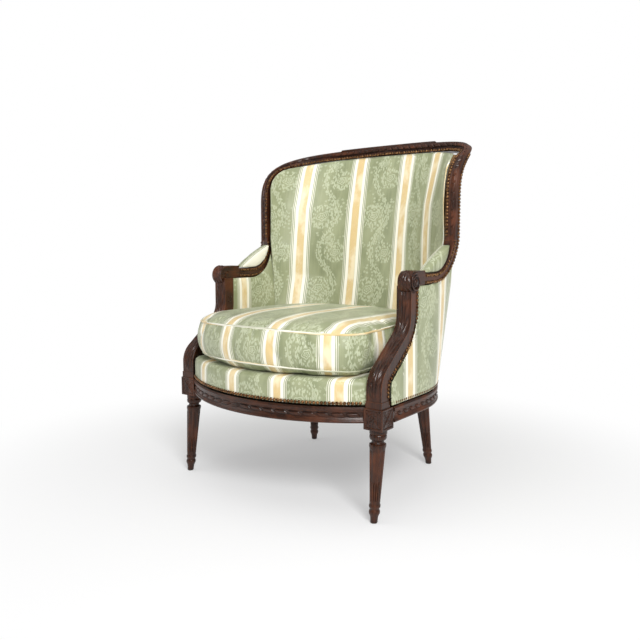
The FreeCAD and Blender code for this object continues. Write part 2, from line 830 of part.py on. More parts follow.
def upholstery_region(recess):
    """Region of the side view that the upholstery fills: behind the arm support, under the arm and
    from the given recess behind the face of the stiles and crest."""
    gap = size["wall_gap"]
    back_edge = support_edge(size["support_thickness"] + gap)
    foot, head = edge_ends(back_edge)
    level = arm_lower - gap
    radius = size["arm_bend_radius"] + recess
    middle = (arm_bend.z - level + radius) / 2
    slant = math.sqrt(0.5)
    under = Vector(0, arm_bend.y, level)
    knee = Vector(0, arm_bend.y + middle * slant, arm_bend.z - middle * slant)
    upright = Vector(0, arm_bend.y + radius, arm_bend.z)
    curve = [Vector(0, upright.y, corner_level)]
    for share in (0.25, 0.4, 0.52, 0.64, 0.74, 0.84, 0.92, 1.0):
        across, front = crest_axes(share)
        point = crest_place(share) - across * (size["frame_width"] + gap) - front * recess
        curve.append(Vector(0, point.y, point.z))
    face_line = Part.BSplineCurve()
    face_line.interpolate(curve)
    far = crest_rear + 100
    top = curve[-1]
    edges = back_edge[:-1] + [
        Part.makeLine(back_edge[-1].Vertexes[0].Point, Vector(0, head.y, level)),
        Part.makeLine(Vector(0, head.y, level), under),
        Part.Arc(under, knee, upright).toShape(),
        Part.makeLine(upright, curve[0]),
        face_line.toShape(),
        Part.makeLine(top, Vector(0, far, top.z)),
        Part.makeLine(Vector(0, far, top.z), Vector(0, far, foot.z)),
        Part.makeLine(Vector(0, far, foot.z), foot),
    ]
    face = Part.Face(closed_wire(edges))
    reach = 2 * size["seat_half_width"]
    face.translate(Vector(-reach, 0, 0))
    return face.extrude(Vector(2 * reach, 0, 0))


def sector(low, high):
    """Upright wedge between two directions, in degrees, from the middle of the seat frame."""
    reach = 4 * size["seat_half_width"]
    corners = [horseshoe]
    for angle in (low, (low + high) / 2, high):
        turn = math.radians(angle)
        corners.append(horseshoe + Vector(reach * math.cos(turn), reach * math.sin(turn), 0))
    return polygon_face(corners).extrude(UP * (2 * crest_level))


def right_half():
    reach = 4 * size["seat_half_width"]
    return Part.makeBox(reach, 2 * reach, 2 * crest_level, Vector(0, -reach, 0))


def biggest(shape):
    return max(shape.Solids, key=lambda part: part.Volume)


def post(angle, foot=size["rail_top"]):
    """Hidden upright between the covers, from the seat rail up to the frame."""
    spread = size["post_half_angle"]
    layer = wall_layer(size["post_share"], size["hessian_share"] - size["layer_gap"], foot)
    return biggest(layer.common(sector(angle - spread, angle + spread)).common(behind_frame))


# Seat
def seat_plan(level, bow_inset, plan, rounding=0.0):
    """Seat plan: bowed front, straight sides and a curved back, with sharp or rounded front corners."""
    half, start = plan[:2]
    radius = bow_radius - bow_inset
    across = half - rounding
    corner = Vector(across, bow_centre.y - math.sqrt((radius - rounding) ** 2 - across ** 2), level)
    bow_middle = Vector(0, bow_centre.y, level)
    bow_end = bow_middle + (corner - bow_middle).normalize() * radius
    side_end = corner + OUT * rounding
    edges = curved_back(plan, level)
    bow_start = Vector(-bow_end.x, bow_end.y, level)
    edges.append(Part.Arc(bow_start, bow_middle - Vector(0, radius, 0), bow_end).toShape())
    for side in (1, -1):
        low, high = [Vector(side * end.x, end.y, level) for end in (bow_end, side_end)]
        edges.append(Part.makeLine(high, Vector(side * half, start, level)))
        if rounding:
            turn = (bow_end - corner).normalize() + OUT
            knee = corner + turn.normalize() * rounding
            edges.append(Part.Arc(low, Vector(side * knee.x, knee.y, level), high).toShape())
    return Part.Face(closed_wire(edges))


deck_foot = wall_foot - size["wall_gap"]
deck_top = deck_foot + size["deck_height"]


def deck(shrink):
    """Deck over the seat frame, with a rounded front edge."""
    _, start, middle, full, turn = wall_shape(deck_foot, 1.0)
    plan = (support_inner - size["deck_side_gap"] - shrink, start, middle - size["deck_back_gap"] - shrink,
            full, turn)
    face = seat_plan(deck_foot, size["deck_front_set_in"] + shrink, plan)
    height = size["deck_height"] - shrink
    body = face.extrude(UP * height)
    top = [edge for edge in body.Edges if min(v.Z for v in edge.Vertexes) > deck_foot + height - 0.01]
    return body.makeFillet(size["deck_edge_radius"] - shrink, top)


def cushion_ring(level, inset):
    _, start, middle, full, turn = wall_shape(level, 1.0)
    half = support_inner - size["cushion_side_gap"] - inset
    back = middle - size["cushion_back_gap"] - inset
    rounding = max(size["cushion_corner_radius"] - inset, 0.2 * size["cushion_corner_radius"])
    plan = (half, min(start, back - half / 2), back, full, turn)
    return seat_plan(level, inset - size["cushion_front_reach"], plan, rounding).OuterWire


def cushion_body(shrink):
    """Loose cushion: flat where it lies on the deck, drawn in at its seams, crowned on top."""
    base = deck_top + size["cushion_gap"] + shrink
    height = size["cushion_front_height"] - 2 * shrink
    draw = size["cushion_draw_in"]
    rings = [(base, 2 * draw)]
    side_rings, crown_rings = 6, 5
    for ring in range(1, side_rings + 1):
        share = ring / side_rings
        rings.append((base + height * share, draw * (1 - math.sin(math.pi * share))))
    for ring in range(1, crown_rings + 1):
        share = ring / crown_rings
        rings.append((base + height + size["cushion_crown"] * (1 - (1 - share) ** 2),
                      draw + size["cushion_crown_run"] * share))
    return loft([cushion_ring(level, inset + shrink) for level, inset in rings], True)


def arm_pad():
    """Padded arm top in the hollow of the arm, crowned along its length."""
    radius = size["arm_bend_radius"] - size["wall_gap"]
    centre = Vector(0, arm_bend.y, arm_bend.z)
    front_low = Vector(0, step_y + size["pad_front_gap"], centre.z - radius)
    bottom = Vector(0, centre.y, centre.z - radius)
    head_turn = math.acos(size["pad_head_drop"] / radius)
    knee, head = [Vector(0, centre.y + radius * math.sin(turn), centre.z - radius * math.cos(turn))
                  for turn in (head_turn / 2, head_turn)]
    out = Vector(0, front_low.z - head.z, head.y - front_low.y).normalize()
    crown_top = (front_low + head) * 0.5 + out * size["pad_crown"]
    edges = [
        Part.makeLine(front_low, bottom),
        Part.Arc(bottom, knee, head).toShape(),
        Part.Arc(head, crown_top, front_low).toShape(),
    ]
    outline = Part.Face(Part.Wire(edges))
    over = size["pad_overhang"]
    outline.translate(Vector(arm_inner - over, 0, 0))
    body = outline.extrude(Vector(size["frame_width"] + 2 * over, 0, 0))
    crown_edges = [edge for edge in body.Edges
                   if edge.Curve.TypeId == "Part::GeomCircle" and edge.Curve.Radius > 1.2 * radius]
    return body.makeFillet(size["pad_edge_radius"], crown_edges)


# Nails
def nail(place, out):
    """Head of one nail on a surface whose outward direction is given."""
    radius = size["nail_radius"]
    return Part.makeCone(radius, radius / 2, size["nail_dome"], place + out * size["nail_lift"], out)


def nail_row(path):
    """Nails at even steps along a list of places with outward directions."""
    heads = []
    travelled = 0.0
    due = size["nail_pitch"] / 2
    for (first, out_first), (second, out_second) in zip(path, path[1:]):
        length = (second - first).Length
        while due <= travelled + length:
            share = (due - travelled) / length
            out = out_first * (1 - share) + out_second * share
            out.normalize()
            heads.append(nail(first + (second - first) * share, out))
            due += size["nail_pitch"]
        travelled += length
    return heads


nail_level = wall_foot + size["nail_radius"] + 1


def front_border_nails():
    radius = bow_radius - size["deck_front_set_in"]
    reach = math.asin((block_inner - size["nail_radius"]) / radius)
    path = []
    steps = 40
    for step in range(steps + 1):
        angle = blend(-reach, reach, step / steps)
        out = Vector(math.sin(angle), -math.cos(angle), 0)
        path.append((bow_centre + out * radius + UP * nail_level, out))
    return nail_row(path)


def rail_nails():
    """Along the foot of the outside covers, from support to support."""
    half, start = wall_shape(nail_level, 0)[:2]
    front_y = support_front + size["support_thickness"] + 2 * size["nail_pitch"]
    path = [(Vector(half, front_y, nail_level), OUT), (Vector(half, start, nail_level), OUT)]
    steps = 40
    for step in range(1, 2 * steps):
        travel = step / steps
        ahead = wall_point(nail_level, 0, travel + 0.01) - wall_point(nail_level, 0, travel - 0.01)
        path.append((wall_point(nail_level, 0, travel), Vector(ahead.y, -ahead.x, 0).normalize()))
    path += [(Vector(-half, start, nail_level), -OUT), (Vector(-half, front_y, nail_level), -OUT)]
    return nail_row(path)


def support_nails():
    """On the outer face of the arm support, along its back edge."""
    inset = size["support_thickness"] - size["nail_radius"] - 2
    path = []
    for edge in support_edge(inset):
        points = edge.discretize(7)
        if path and (points[0] - path[-1]).Length > (points[-1] - path[-1]).Length:
            points.reverse()
        path += points
    floor = size["rail_top"] + size["plinth_height"] + size["nail_radius"]
    return nail_row([(point + OUT * support_outer, OUT) for point in path if point.z > floor])


def arm_nails(depth, side, front_y):
    """Along an arm's side face at a depth under its top: side 1 is the outer face, -1 the inner."""
    out = OUT * side
    shift = Vector(0, 0, 0) if side > 0 else OUT * -size["frame_width"]
    start = arm_place(0)
    path = [(Vector(start.x, front_y, start.z - depth) + shift, out)]
    for turn in range(0, 91, 10):
        up = arm_axes(turn)[1]
        ahead = arm_place(turn + 1) - arm_place(turn - 1)
        path.append((arm_place(turn) - up * depth + shift, ahead.cross(up).normalize() * side))
    return nail_row(path)


def frame_nails():
    """On the inner margin of the frame's face, from one arm up and over to the other."""
    inset = size["frame_width"] - size["nail_margin"] / 2
    foot_across, foot_front = crest_axes(0)
    path = [(arm_place(90) - foot_across * inset + UP * size["nail_pitch"], foot_front)]
    steps = 24
    for step in range(steps + 1):
        share = step / steps
        across = crest_axes(share)[0]
        ahead = crest_place(min(1.0, share + 0.01)) - crest_place(max(0.0, share - 0.01))
        face = across.cross(ahead if share < 1 else -OUT).normalize()
        path.append((crest_place(share) - across * inset, face))
    heads = nail_row(path)
    return heads + [head.mirror(Vector(0, 0, 0), OUT) for head in heads]


def outside_frame_nails():
    """On the outer side face of the stile near its back edge."""
    inset = size["frame_depth"] - size["nail_margin"] / 2
    path = [(arm_place(90) + Vector(0, inset, size["nail_radius"]), OUT)]
    steps = 20
    for step in range(15):
        share = step / steps
        across, front = crest_axes(share)
        path.append((crest_place(share) - front * inset, across))
    return nail_row(path)


# Build
pair("front_leg", front_leg())
pair("rear_leg", rear_leg())
keep(feature("front_rail", front_rail()), "front_rail")
pair("side_rail", side_rail())
keep(feature("back_rail", swept_rail(horseshoe, size["seat_half_width"], size["rear_joint_angle"],
                                     180 - size["rear_joint_angle"])), "back_rail")
both_sides("rail_pegs", [peg("front"), peg("side")])
both_sides("glue_blocks", [glue_block()])
both_sides("foot_glides", [
    foot_glide("front_glide", front_leg_top(), -size["front_rake"], size["front_splay"]),
    foot_glide("rear_glide", rear_leg_top(), size["rear_rake"], size["rear_splay"]),
])
pair("arm_support", arm_support())
pair("arm", arm())
pair("back_stile", stile())
keep(feature("crest_rail", crest()), "crest_rail")

behind_frame = upholstery_region(size["frame_depth"] + size["wall_gap"])
behind_face = upholstery_region(size["inside_cover_recess"])
back_angle = size["back_post_angle"]
back_wedge = sector(back_angle, 180 - back_angle)
outside = wall_layer(0.0, size["outside_cover_share"]).common(behind_frame)
keep(feature("outside_back_cover", biggest(outside.common(back_wedge))), "outside_back_cover")
pair("outside_arm_cover", biggest(outside.cut(back_wedge).common(right_half())))
hessian_layer = wall_layer(size["hessian_share"], amount("hessian_share + hessian_share_thickness"))
keep(feature("back_hessian", biggest(hessian_layer.common(behind_frame))), "back_hessian")

seam = Part.makeBox(4 * size["seat_half_width"], crest_rear, 2 * crest_level,
                    Vector(-2 * size["seat_half_width"], arm_bend.y + size["arm_bend_radius"], 0))
stuffing = wall_layer(size["stuffing_share"], amount("inside_cover_share - 0.5 * layer_gap"))
stuffing = stuffing.common(behind_frame)
skin = wall_layer(size["inside_cover_share"], 1.0).common(behind_face)
for name, layer in (("stuffing", stuffing), ("cover", skin)):
    keep(feature("inside_back_" + name, biggest(layer.common(seam))), "inside_back_" + name)
    pair("inside_arm_" + name, biggest(layer.cut(seam).common(right_half())))

pair("back_post", post(back_angle))
pair("arm_post", post(size["arm_post_angle"]))
tack_low = size["rail_top"] + size["tack_rail_rise"]
tack_high = tack_low + size["tack_rail_height"]
tack = wall_layer(size["post_share"], size["hessian_share"] - size["layer_gap"], tack_low, tack_high)
between_posts = sector(back_angle + size["post_half_angle"], 180 - back_angle - size["post_half_angle"])
keep(feature("back_tack_rail", biggest(tack.common(between_posts))), "back_tack_rail")

# Webbing: strips from front to back, and strips across them
front_reach = bow_radius - size["web_end_inset"]
back_reach = size["seat_half_width"] - size["web_end_inset"]
half_web = size["web_width"] / 2
long_strips = []
cross_strips = []
for number in range(int(size["web_count"])):
    shift = (number - (size["web_count"] - 1) / 2) * size["web_pitch"]
    edge = abs(shift) + half_web
    front = bow_centre.y - math.sqrt(front_reach ** 2 - edge ** 2)
    back = horseshoe.y + math.sqrt(back_reach ** 2 - edge ** 2)
    strip = Part.makeBox(size["web_width"], back - front, size["web_thickness"],
                         Vector(shift - half_web, front, size["rail_top"]))
    long_strips.append(strip)
    middle = horseshoe.y + shift + size["cross_web_shift"]
    far = max(0.0, middle + half_web - horseshoe.y)
    half = math.sqrt(back_reach ** 2 - far ** 2)
    if middle - half_web < block_back:
        half = block_inner - 1
    strip = Part.makeBox(2 * half, size["web_width"], size["web_thickness"],
                         Vector(-half, middle - half_web, size["rail_top"] + size["web_thickness"]))
    cross_strips.append(strip)
keep(feature("webbing_front_to_back", Part.makeCompound(long_strips)), "webbing_front_to_back")
keep(feature("webbing_side_to_side", Part.makeCompound(cross_strips)), "webbing_side_to_side")

hessian_level = amount("rail_top + 2 * web_thickness")
hessian_plan = (support_inner - size["deck_side_gap"],) + wall_shape(hessian_level, 1.0)[1:]
seat_hessian = seat_plan(hessian_level, size["web_end_inset"], hessian_plan)
keep(feature("seat_hessian", seat_hessian.extrude(UP * size["seat_hessian_thickness"])), "seat_hessian")
filling_depth = size["cover_thickness"] + size["filling_gap"]
keep(feature("seat_stuffing", deck(filling_depth)), "seat_stuffing")
keep(feature("deck_cover", deck(0).cut(deck(size["cover_thickness"]))), "deck_cover")
dust_reach = size["seat_half_width"] - size["dust_cover_inset"]
dust_plan = (block_inner - 1, size["horseshoe_centre"], size["horseshoe_centre"] + dust_reach,
             size["wall_foot_fullness"], 0.0)
dust_cover = seat_plan(rail_bottom - size["dust_cover_thickness"], size["dust_cover_inset"], dust_plan)
keep(feature("dust_cover", dust_cover.extrude(UP * size["dust_cover_thickness"])), "dust_cover")

cushion_inside = cushion_body(size["cover_thickness"])
keep(feature("cushion_filling", cushion_body(filling_depth)), "cushion_filling")
keep(feature("cushion_cover", cushion_body(0).cut(cushion_inside)), "cushion_cover")
pair("arm_pad", arm_pad())

keep(feature("nails_front_border", Part.makeCompound(front_border_nails())), "nails_front_border")
keep(feature("nails_seat_rail", Part.makeCompound(rail_nails())), "nails_seat_rail")
keep(feature("nails_back_frame", Part.makeCompound(frame_nails())), "nails_back_frame")
upper_row = size["nail_radius"] + 1
lower_row = size["frame_depth"] - size["nail_radius"] - 1
side_nails = support_nails() + outside_frame_nails()
for side in (1, -1):
    side_nails += arm_nails(upper_row, side, step_y + size["pad_front_gap"])
    side_nails += arm_nails(lower_row, side, step_y + size["nail_radius"])
pair("nails_arm", Part.makeCompound(side_nails))

doc.recompute()
faults = []
for item in doc.Objects:
    if "Invalid" in item.State or "Error" in item.State:
        faults.append(f"{item.Label}: {item.State}")
for item in pieces:
    if item.Shape.isNull() or not item.Shape.isValid() or not item.Shape.Solids:
        faults.append(f"{item.Label}: shape is not valid")
if faults:
    raise RuntimeError("; ".join(faults))

os.makedirs("parts", exist_ok=True)
for item in pieces:
    item.Shape.exportStep(f"parts/{item.Label}.step")
whole = Part.makeCompound([item.Shape for item in pieces]).BoundBox
print(f"{len(pieces)} pieces, x {whole.XMin:.1f} {whole.XMax:.1f}, y {whole.YMin:.1f} {whole.YMax:.1f}, "
      f"z {whole.ZMin:.1f} {whole.ZMax:.1f}")
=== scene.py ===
import math
import random

import bpy
import numpy as np
from mathutils import Matrix, Vector
from mathutils.bvhtree import BVHTree


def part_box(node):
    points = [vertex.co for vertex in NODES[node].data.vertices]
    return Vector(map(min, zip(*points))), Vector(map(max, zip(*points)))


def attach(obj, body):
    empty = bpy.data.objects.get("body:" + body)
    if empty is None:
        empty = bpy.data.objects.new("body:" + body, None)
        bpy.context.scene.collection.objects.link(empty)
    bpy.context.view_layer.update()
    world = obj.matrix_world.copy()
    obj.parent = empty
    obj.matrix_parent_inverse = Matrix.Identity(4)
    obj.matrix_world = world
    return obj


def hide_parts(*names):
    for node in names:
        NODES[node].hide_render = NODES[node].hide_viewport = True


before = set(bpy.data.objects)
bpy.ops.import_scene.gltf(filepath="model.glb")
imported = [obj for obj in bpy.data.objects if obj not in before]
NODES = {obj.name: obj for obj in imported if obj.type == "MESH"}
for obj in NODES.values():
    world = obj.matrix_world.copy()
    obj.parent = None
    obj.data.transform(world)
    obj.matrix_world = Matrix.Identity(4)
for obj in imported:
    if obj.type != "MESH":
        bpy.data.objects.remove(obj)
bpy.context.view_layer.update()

# Places shared with the frame, in metres
UP = Vector((0, 0, 1))
OUT = Vector((1, 0, 0))
SIDES = (("right", 1), ("left", -1))
RAIL_LOW, RAIL_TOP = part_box("back_rail")[0].z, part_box("back_rail")[1].z
DECK_LOW, DECK_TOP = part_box("deck_cover")[0].z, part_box("deck_cover")[1].z
CUSHION_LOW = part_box("cushion_cover")[0].z
STILE_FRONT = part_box("back_stile_right")[0].y
SEAT_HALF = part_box("side_rail_right")[1].x
BLOCK_LOW = Vector((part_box("front_leg_right")[1].x - 0.053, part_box("front_leg_right")[1].y - 0.053, 0.227))
BLOCK_SIZE = 0.053
BLOCK_EDGE = 0.0022
PANEL_MARGIN = 0.006
PANEL_DEPTH = 0.0026

# Cloth, in metres
STRIPE_REPEAT = 0.150
BACK_REPEAT = 0.177
SIDE_REPEAT = 0.190
COVER_THICKNESS = 0.0022
WELT_RADIUS = 0.0030
PULL_STEP = 0.2
PULL_TRIES = 60

# Camera fitted to the photograph, whose frame is 640 by 640
CAMERA_PLACE = (1.143, -1.564, 0.666)
CAMERA_TURN = (83.574, 0.0, 36.658)
FOCAL_PIXELS = 671.54
FRAME_PIXELS = 640
SENSOR = 36.0


# Meshes
def deselect():
    if bpy.context.object and bpy.context.object.mode != "OBJECT":
        bpy.ops.object.mode_set(mode="OBJECT")
    bpy.ops.object.select_all(action="DESELECT")


def choose(piece):
    """Makes a piece the only one selected."""
    deselect()
    piece.select_set(True)
    bpy.context.view_layer.objects.active = piece


def added(name):
    """Names the primitive that was just added."""
    piece = bpy.context.object
    piece.name = name
    piece.data.name = name
    return piece


def points_of(piece):
    flat = np.empty(len(piece.data.vertices) * 3)
    piece.data.vertices.foreach_get("co", flat)
    return flat.reshape(-1, 3)


def put_points(piece, points):
    piece.data.vertices.foreach_set("co", np.asarray(points, float).ravel())
    piece.data.update()


def apply_place(piece):
    """Puts a piece's place, turn and size into its mesh."""
    choose(piece)
    bpy.ops.object.transform_apply(location=True, rotation=True, scale=True)


def apply_all(piece):
    choose(piece)
    for modifier in list(piece.modifiers):
        bpy.ops.object.modifier_apply(modifier=modifier.name)


def outward(piece, merge=1e-5):
    """Merges doubled points and turns all faces outwards."""
    choose(piece)
    bpy.ops.object.mode_set(mode="EDIT")
    bpy.ops.mesh.select_all(action="SELECT")
    bpy.ops.mesh.remove_doubles(threshold=merge)
    bpy.ops.mesh.normals_make_consistent(inside=False)
    bpy.ops.object.mode_set(mode="OBJECT")


def smooth(piece, angle=None):
    choose(piece)
    if angle is None:
        bpy.ops.object.shade_smooth()
    else:
        bpy.ops.object.shade_smooth_by_angle(angle=math.radians(angle))


def modified(piece, kind, **settings):
    modifier = piece.modifiers.new(kind.lower(), kind)
    for name, value in settings.items():
        setattr(modifier, name, value)
    apply_all(piece)
    return piece


def grid(name, columns, rows, place):
    """Grid of points whose shares across and along, 0 to 1, are moved to their places."""
    deselect()
    bpy.ops.mesh.primitive_grid_add(x_subdivisions=columns, y_subdivisions=rows, size=2)
    piece = added(name)
    shares = (points_of(piece)[:, :2] + 1) / 2
    put_points(piece, [place(across, along) for across, along in shares])
    return piece


def rolled(name, around, along, place):
    """Closed skin: a grid rolled round until its first and last columns meet."""
    piece = grid(name, around, along, place)
    outward(piece, 1e-6)
    return piece


def joined(name, members):
    deselect()
    for member in members:
        member.select_set(True)
    bpy.context.view_layer.objects.active = members[0]
    bpy.ops.object.join()
    return added(name)


def copy_of(source, name):
    piece = source.copy()
    piece.data = source.data.copy()
    piece.parent = None
    piece.matrix_world = Matrix.Identity(4)
    for key in list(piece.keys()):
        if key.startswith("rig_"):
            del piece[key]
    bpy.context.scene.collection.objects.link(piece)
    piece.hide_render = False
    piece.hide_viewport = False
    piece.name = name
    piece.data.name = name
    return piece


def mirrored_copy(source, name):
    """The same piece on the other side, with its faces turned outwards again."""
    piece = copy_of(source, name)
    piece.data.transform(Matrix.Scale(-1, 4, OUT))
    piece.data.flip_normals()
    return piece


def finished(piece, slot, material, *nodes, body="chair"):
    """Gives a new piece its material and body, and hides the nodes that it stands for; the slot is not used."""
    piece.data.materials.clear()
    piece.data.materials.append(material)
    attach(piece, body)
    if nodes:
        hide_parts(*nodes)
    return piece


def tree_of(*names):
    """Search tree over the surfaces of some nodes."""
    points, faces = [], []
    for name in names:
        mesh = NODES[name].data if name in NODES else bpy.data.objects[name].data
        start = len(points)
        points += [vertex.co.copy() for vertex in mesh.vertices]
        faces += [[start + number for number in face.vertices] for face in mesh.polygons]
    return BVHTree.FromPolygons(points, faces)


def set_cloth_map(piece, place):
    """Cloth coordinates in metres, from each corner's place and its face's normal."""
    mesh = piece.data
    layer = mesh.uv_layers.get("cloth") or mesh.uv_layers.new(name="cloth")
    for face in mesh.polygons:
        for corner in face.loop_indices:
            point = mesh.vertices[mesh.loops[corner].vertex_index].co
            layer.data[corner].uv = place(point, face.normal)


# Materials
def node(tree, kind, **settings):
    made = tree.nodes.new(kind)
    for name, value in settings.items():
        setattr(made, name, value)
    return made


def feed(tree, socket, value):
    """Links a socket or sets a plain number or colour."""
    if isinstance(value, bpy.types.NodeSocket):
        tree.links.new(value, socket)
    else:
        socket.default_value = value


def calc(tree, operation, *values):
    made = node(tree, "ShaderNodeMath", operation=operation)
    for number, value in enumerate(values):
        feed(tree, made.inputs[number], value)
    return made.outputs[0]


def ramp(tree, value, low, high, first=0.0, last=1.0):
    """Smooth step of a value between two limits."""
    made = node(tree, "ShaderNodeMapRange", interpolation_type="SMOOTHSTEP")
    for name, number in (("Value", value), ("From Min", low), ("From Max", high), ("To Min", first),
                         ("To Max", last)):
        feed(tree, made.inputs[name], number)
    return made.outputs[0]


def mixed(tree, share, first, second, blend="MIX"):
    made = node(tree, "ShaderNodeMix", data_type="RGBA", blend_type=blend)
    for number, value in ((0, share), (6, first), (7, second)):
        feed(tree, made.inputs[number], value)
    return made.outputs[2]


def mapped(tree, place, scale=(1, 1, 1), turn=0.0, move=(0, 0, 0)):
    made = node(tree, "ShaderNodeMapping")
    feed(tree, made.inputs["Vector"], place)
    made.inputs["Scale"].default_value = scale
    made.inputs["Rotation"].default_value = (0, 0, math.radians(turn))
    made.inputs["Location"].default_value = move
    return made.outputs[0]


def noise(tree, place, scale, detail=3.0, rough=0.55):
    made = node(tree, "ShaderNodeTexNoise")
    feed(tree, made.inputs["Vector"], place)
    made.inputs["Scale"].default_value = scale
    made.inputs["Detail"].default_value = detail
    made.inputs["Roughness"].default_value = rough
    return made.outputs["Fac"]


def paired(tree, first, second):
    made = node(tree, "ShaderNodeCombineXYZ")
    feed(tree, made.inputs[0], first)
    feed(tree, made.inputs[1], second)
    return made.outputs[0]


def split(tree, place):
    made = node(tree, "ShaderNodeSeparateXYZ")
    feed(tree, made.inputs[0], place)
    return made.outputs


def new_group(name, inputs, outputs):
    tree = bpy.data.node_groups.new(name, "ShaderNodeTree")
    for words, kind in inputs:
        tree.interface.new_socket(name=words, in_out="INPUT", socket_type=kind)
    for words, kind in outputs:
        tree.interface.new_socket(name=words, in_out="OUTPUT", socket_type=kind)
    return tree, node(tree, "NodeGroupInput").outputs, node(tree, "NodeGroupOutput").inputs


def new_material(name, **constants):
    """Material with a Principled shader whose constant values are given by socket name."""
    material = bpy.data.materials.new(name)
    material.use_nodes = True
    tree = material.node_tree
    shader = tree.nodes["Principled BSDF"]
    for words, value in constants.items():
        shader.inputs[words.replace("_", " ")].default_value = value
    return material, tree, shader.inputs


def bumped(tree, height, distance, strength=1.0):
    made = node(tree, "ShaderNodeBump")
    made.inputs["Distance"].default_value = distance
    made.inputs["Strength"].default_value = strength
    feed(tree, made.inputs["Height"], height)
    return made.outputs[0]


def grouped(tree, group, **values):
    made = node(tree, "ShaderNodeGroup", node_tree=group)
    for words, value in values.items():
        feed(tree, made.inputs[words.replace("_", " ")], value)
    return made.outputs


def linear(red, green, blue):
    """Colour given in the 0 to 255 of a screen."""
    return tuple((value / 255 / 12.92 if value <= 10 else ((value / 255 + 0.055) / 1.055) ** 2.4)
                 for value in (red, green, blue)) + (1.0,)


def band(tree, value, low, high, soft=0.0004):
    rise = ramp(tree, value, low - soft, low + soft)
    fall = ramp(tree, value, high - soft, high + soft)
    return calc(tree, "SUBTRACT", rise, fall)


def rose(tree, across, along, radius):
    """Woven rose: rings of petals round a place, 1 on the light thread."""
    reach = calc(tree, "SQRT", calc(tree, "ADD", calc(tree, "POWER", across, 2.0),
                                    calc(tree, "POWER", along, 2.0)))
    angle = calc(tree, "ARCTAN2", along, across)
    share = calc(tree, "DIVIDE", reach, radius)
    wave = calc(tree, "SINE", calc(tree, "MULTIPLY", angle, 5.0))
    lobes = calc(tree, "ADD", share, calc(tree, "MULTIPLY", wave, 0.10))
    turn = calc(tree, "ADD", calc(tree, "MULTIPLY", lobes, 15.0), calc(tree, "MULTIPLY", angle, 2.0))
    petals = ramp(tree, calc(tree, "SINE", turn), -0.35, 0.25)
    inside = ramp(tree, lobes, 1.0, 0.94)
    return calc(tree, "MULTIPLY", petals, inside), reach


def leaves(tree, place, turn, size):
    """Scattered pointed leaves that lie one way."""
    made = node(tree, "ShaderNodeTexVoronoi", voronoi_dimensions="2D")
    feed(tree, made.inputs["Vector"], mapped(tree, place, (1 / size, 0.45 / size, 1), turn))
    made.inputs["Scale"].default_value = 1.0
    return ramp(tree, made.outputs["Distance"], 0.34, 0.26)


def blossoms(tree, place, size):
    """Scattered five-petalled blossoms."""
    scale = 1 / size
    made = node(tree, "ShaderNodeTexVoronoi", voronoi_dimensions="2D")
    scaled = mapped(tree, place, (scale, scale, 1))
    feed(tree, made.inputs["Vector"], scaled)
    made.inputs["Scale"].default_value = 1.0
    made.inputs["Randomness"].default_value = 0.75
    away = node(tree, "ShaderNodeVectorMath", operation="SUBTRACT")
    feed(tree, away.inputs[0], scaled)
    feed(tree, away.inputs[1], made.outputs["Position"])
    across, along, _ = split(tree, away.outputs[0])
    angle = calc(tree, "ARCTAN2", along, across)
    edge = calc(tree, "ADD", 0.24, calc(tree, "MULTIPLY", calc(tree, "SINE",
                                                             calc(tree, "MULTIPLY", angle, 5.0)), 0.09))
    petals = ramp(tree, calc(tree, "SUBTRACT", made.outputs["Distance"], edge), 0.02, -0.02)
    eye = ramp(tree, made.outputs["Distance"], 0.04, 0.08)
    return calc(tree, "MULTIPLY", petals, eye)


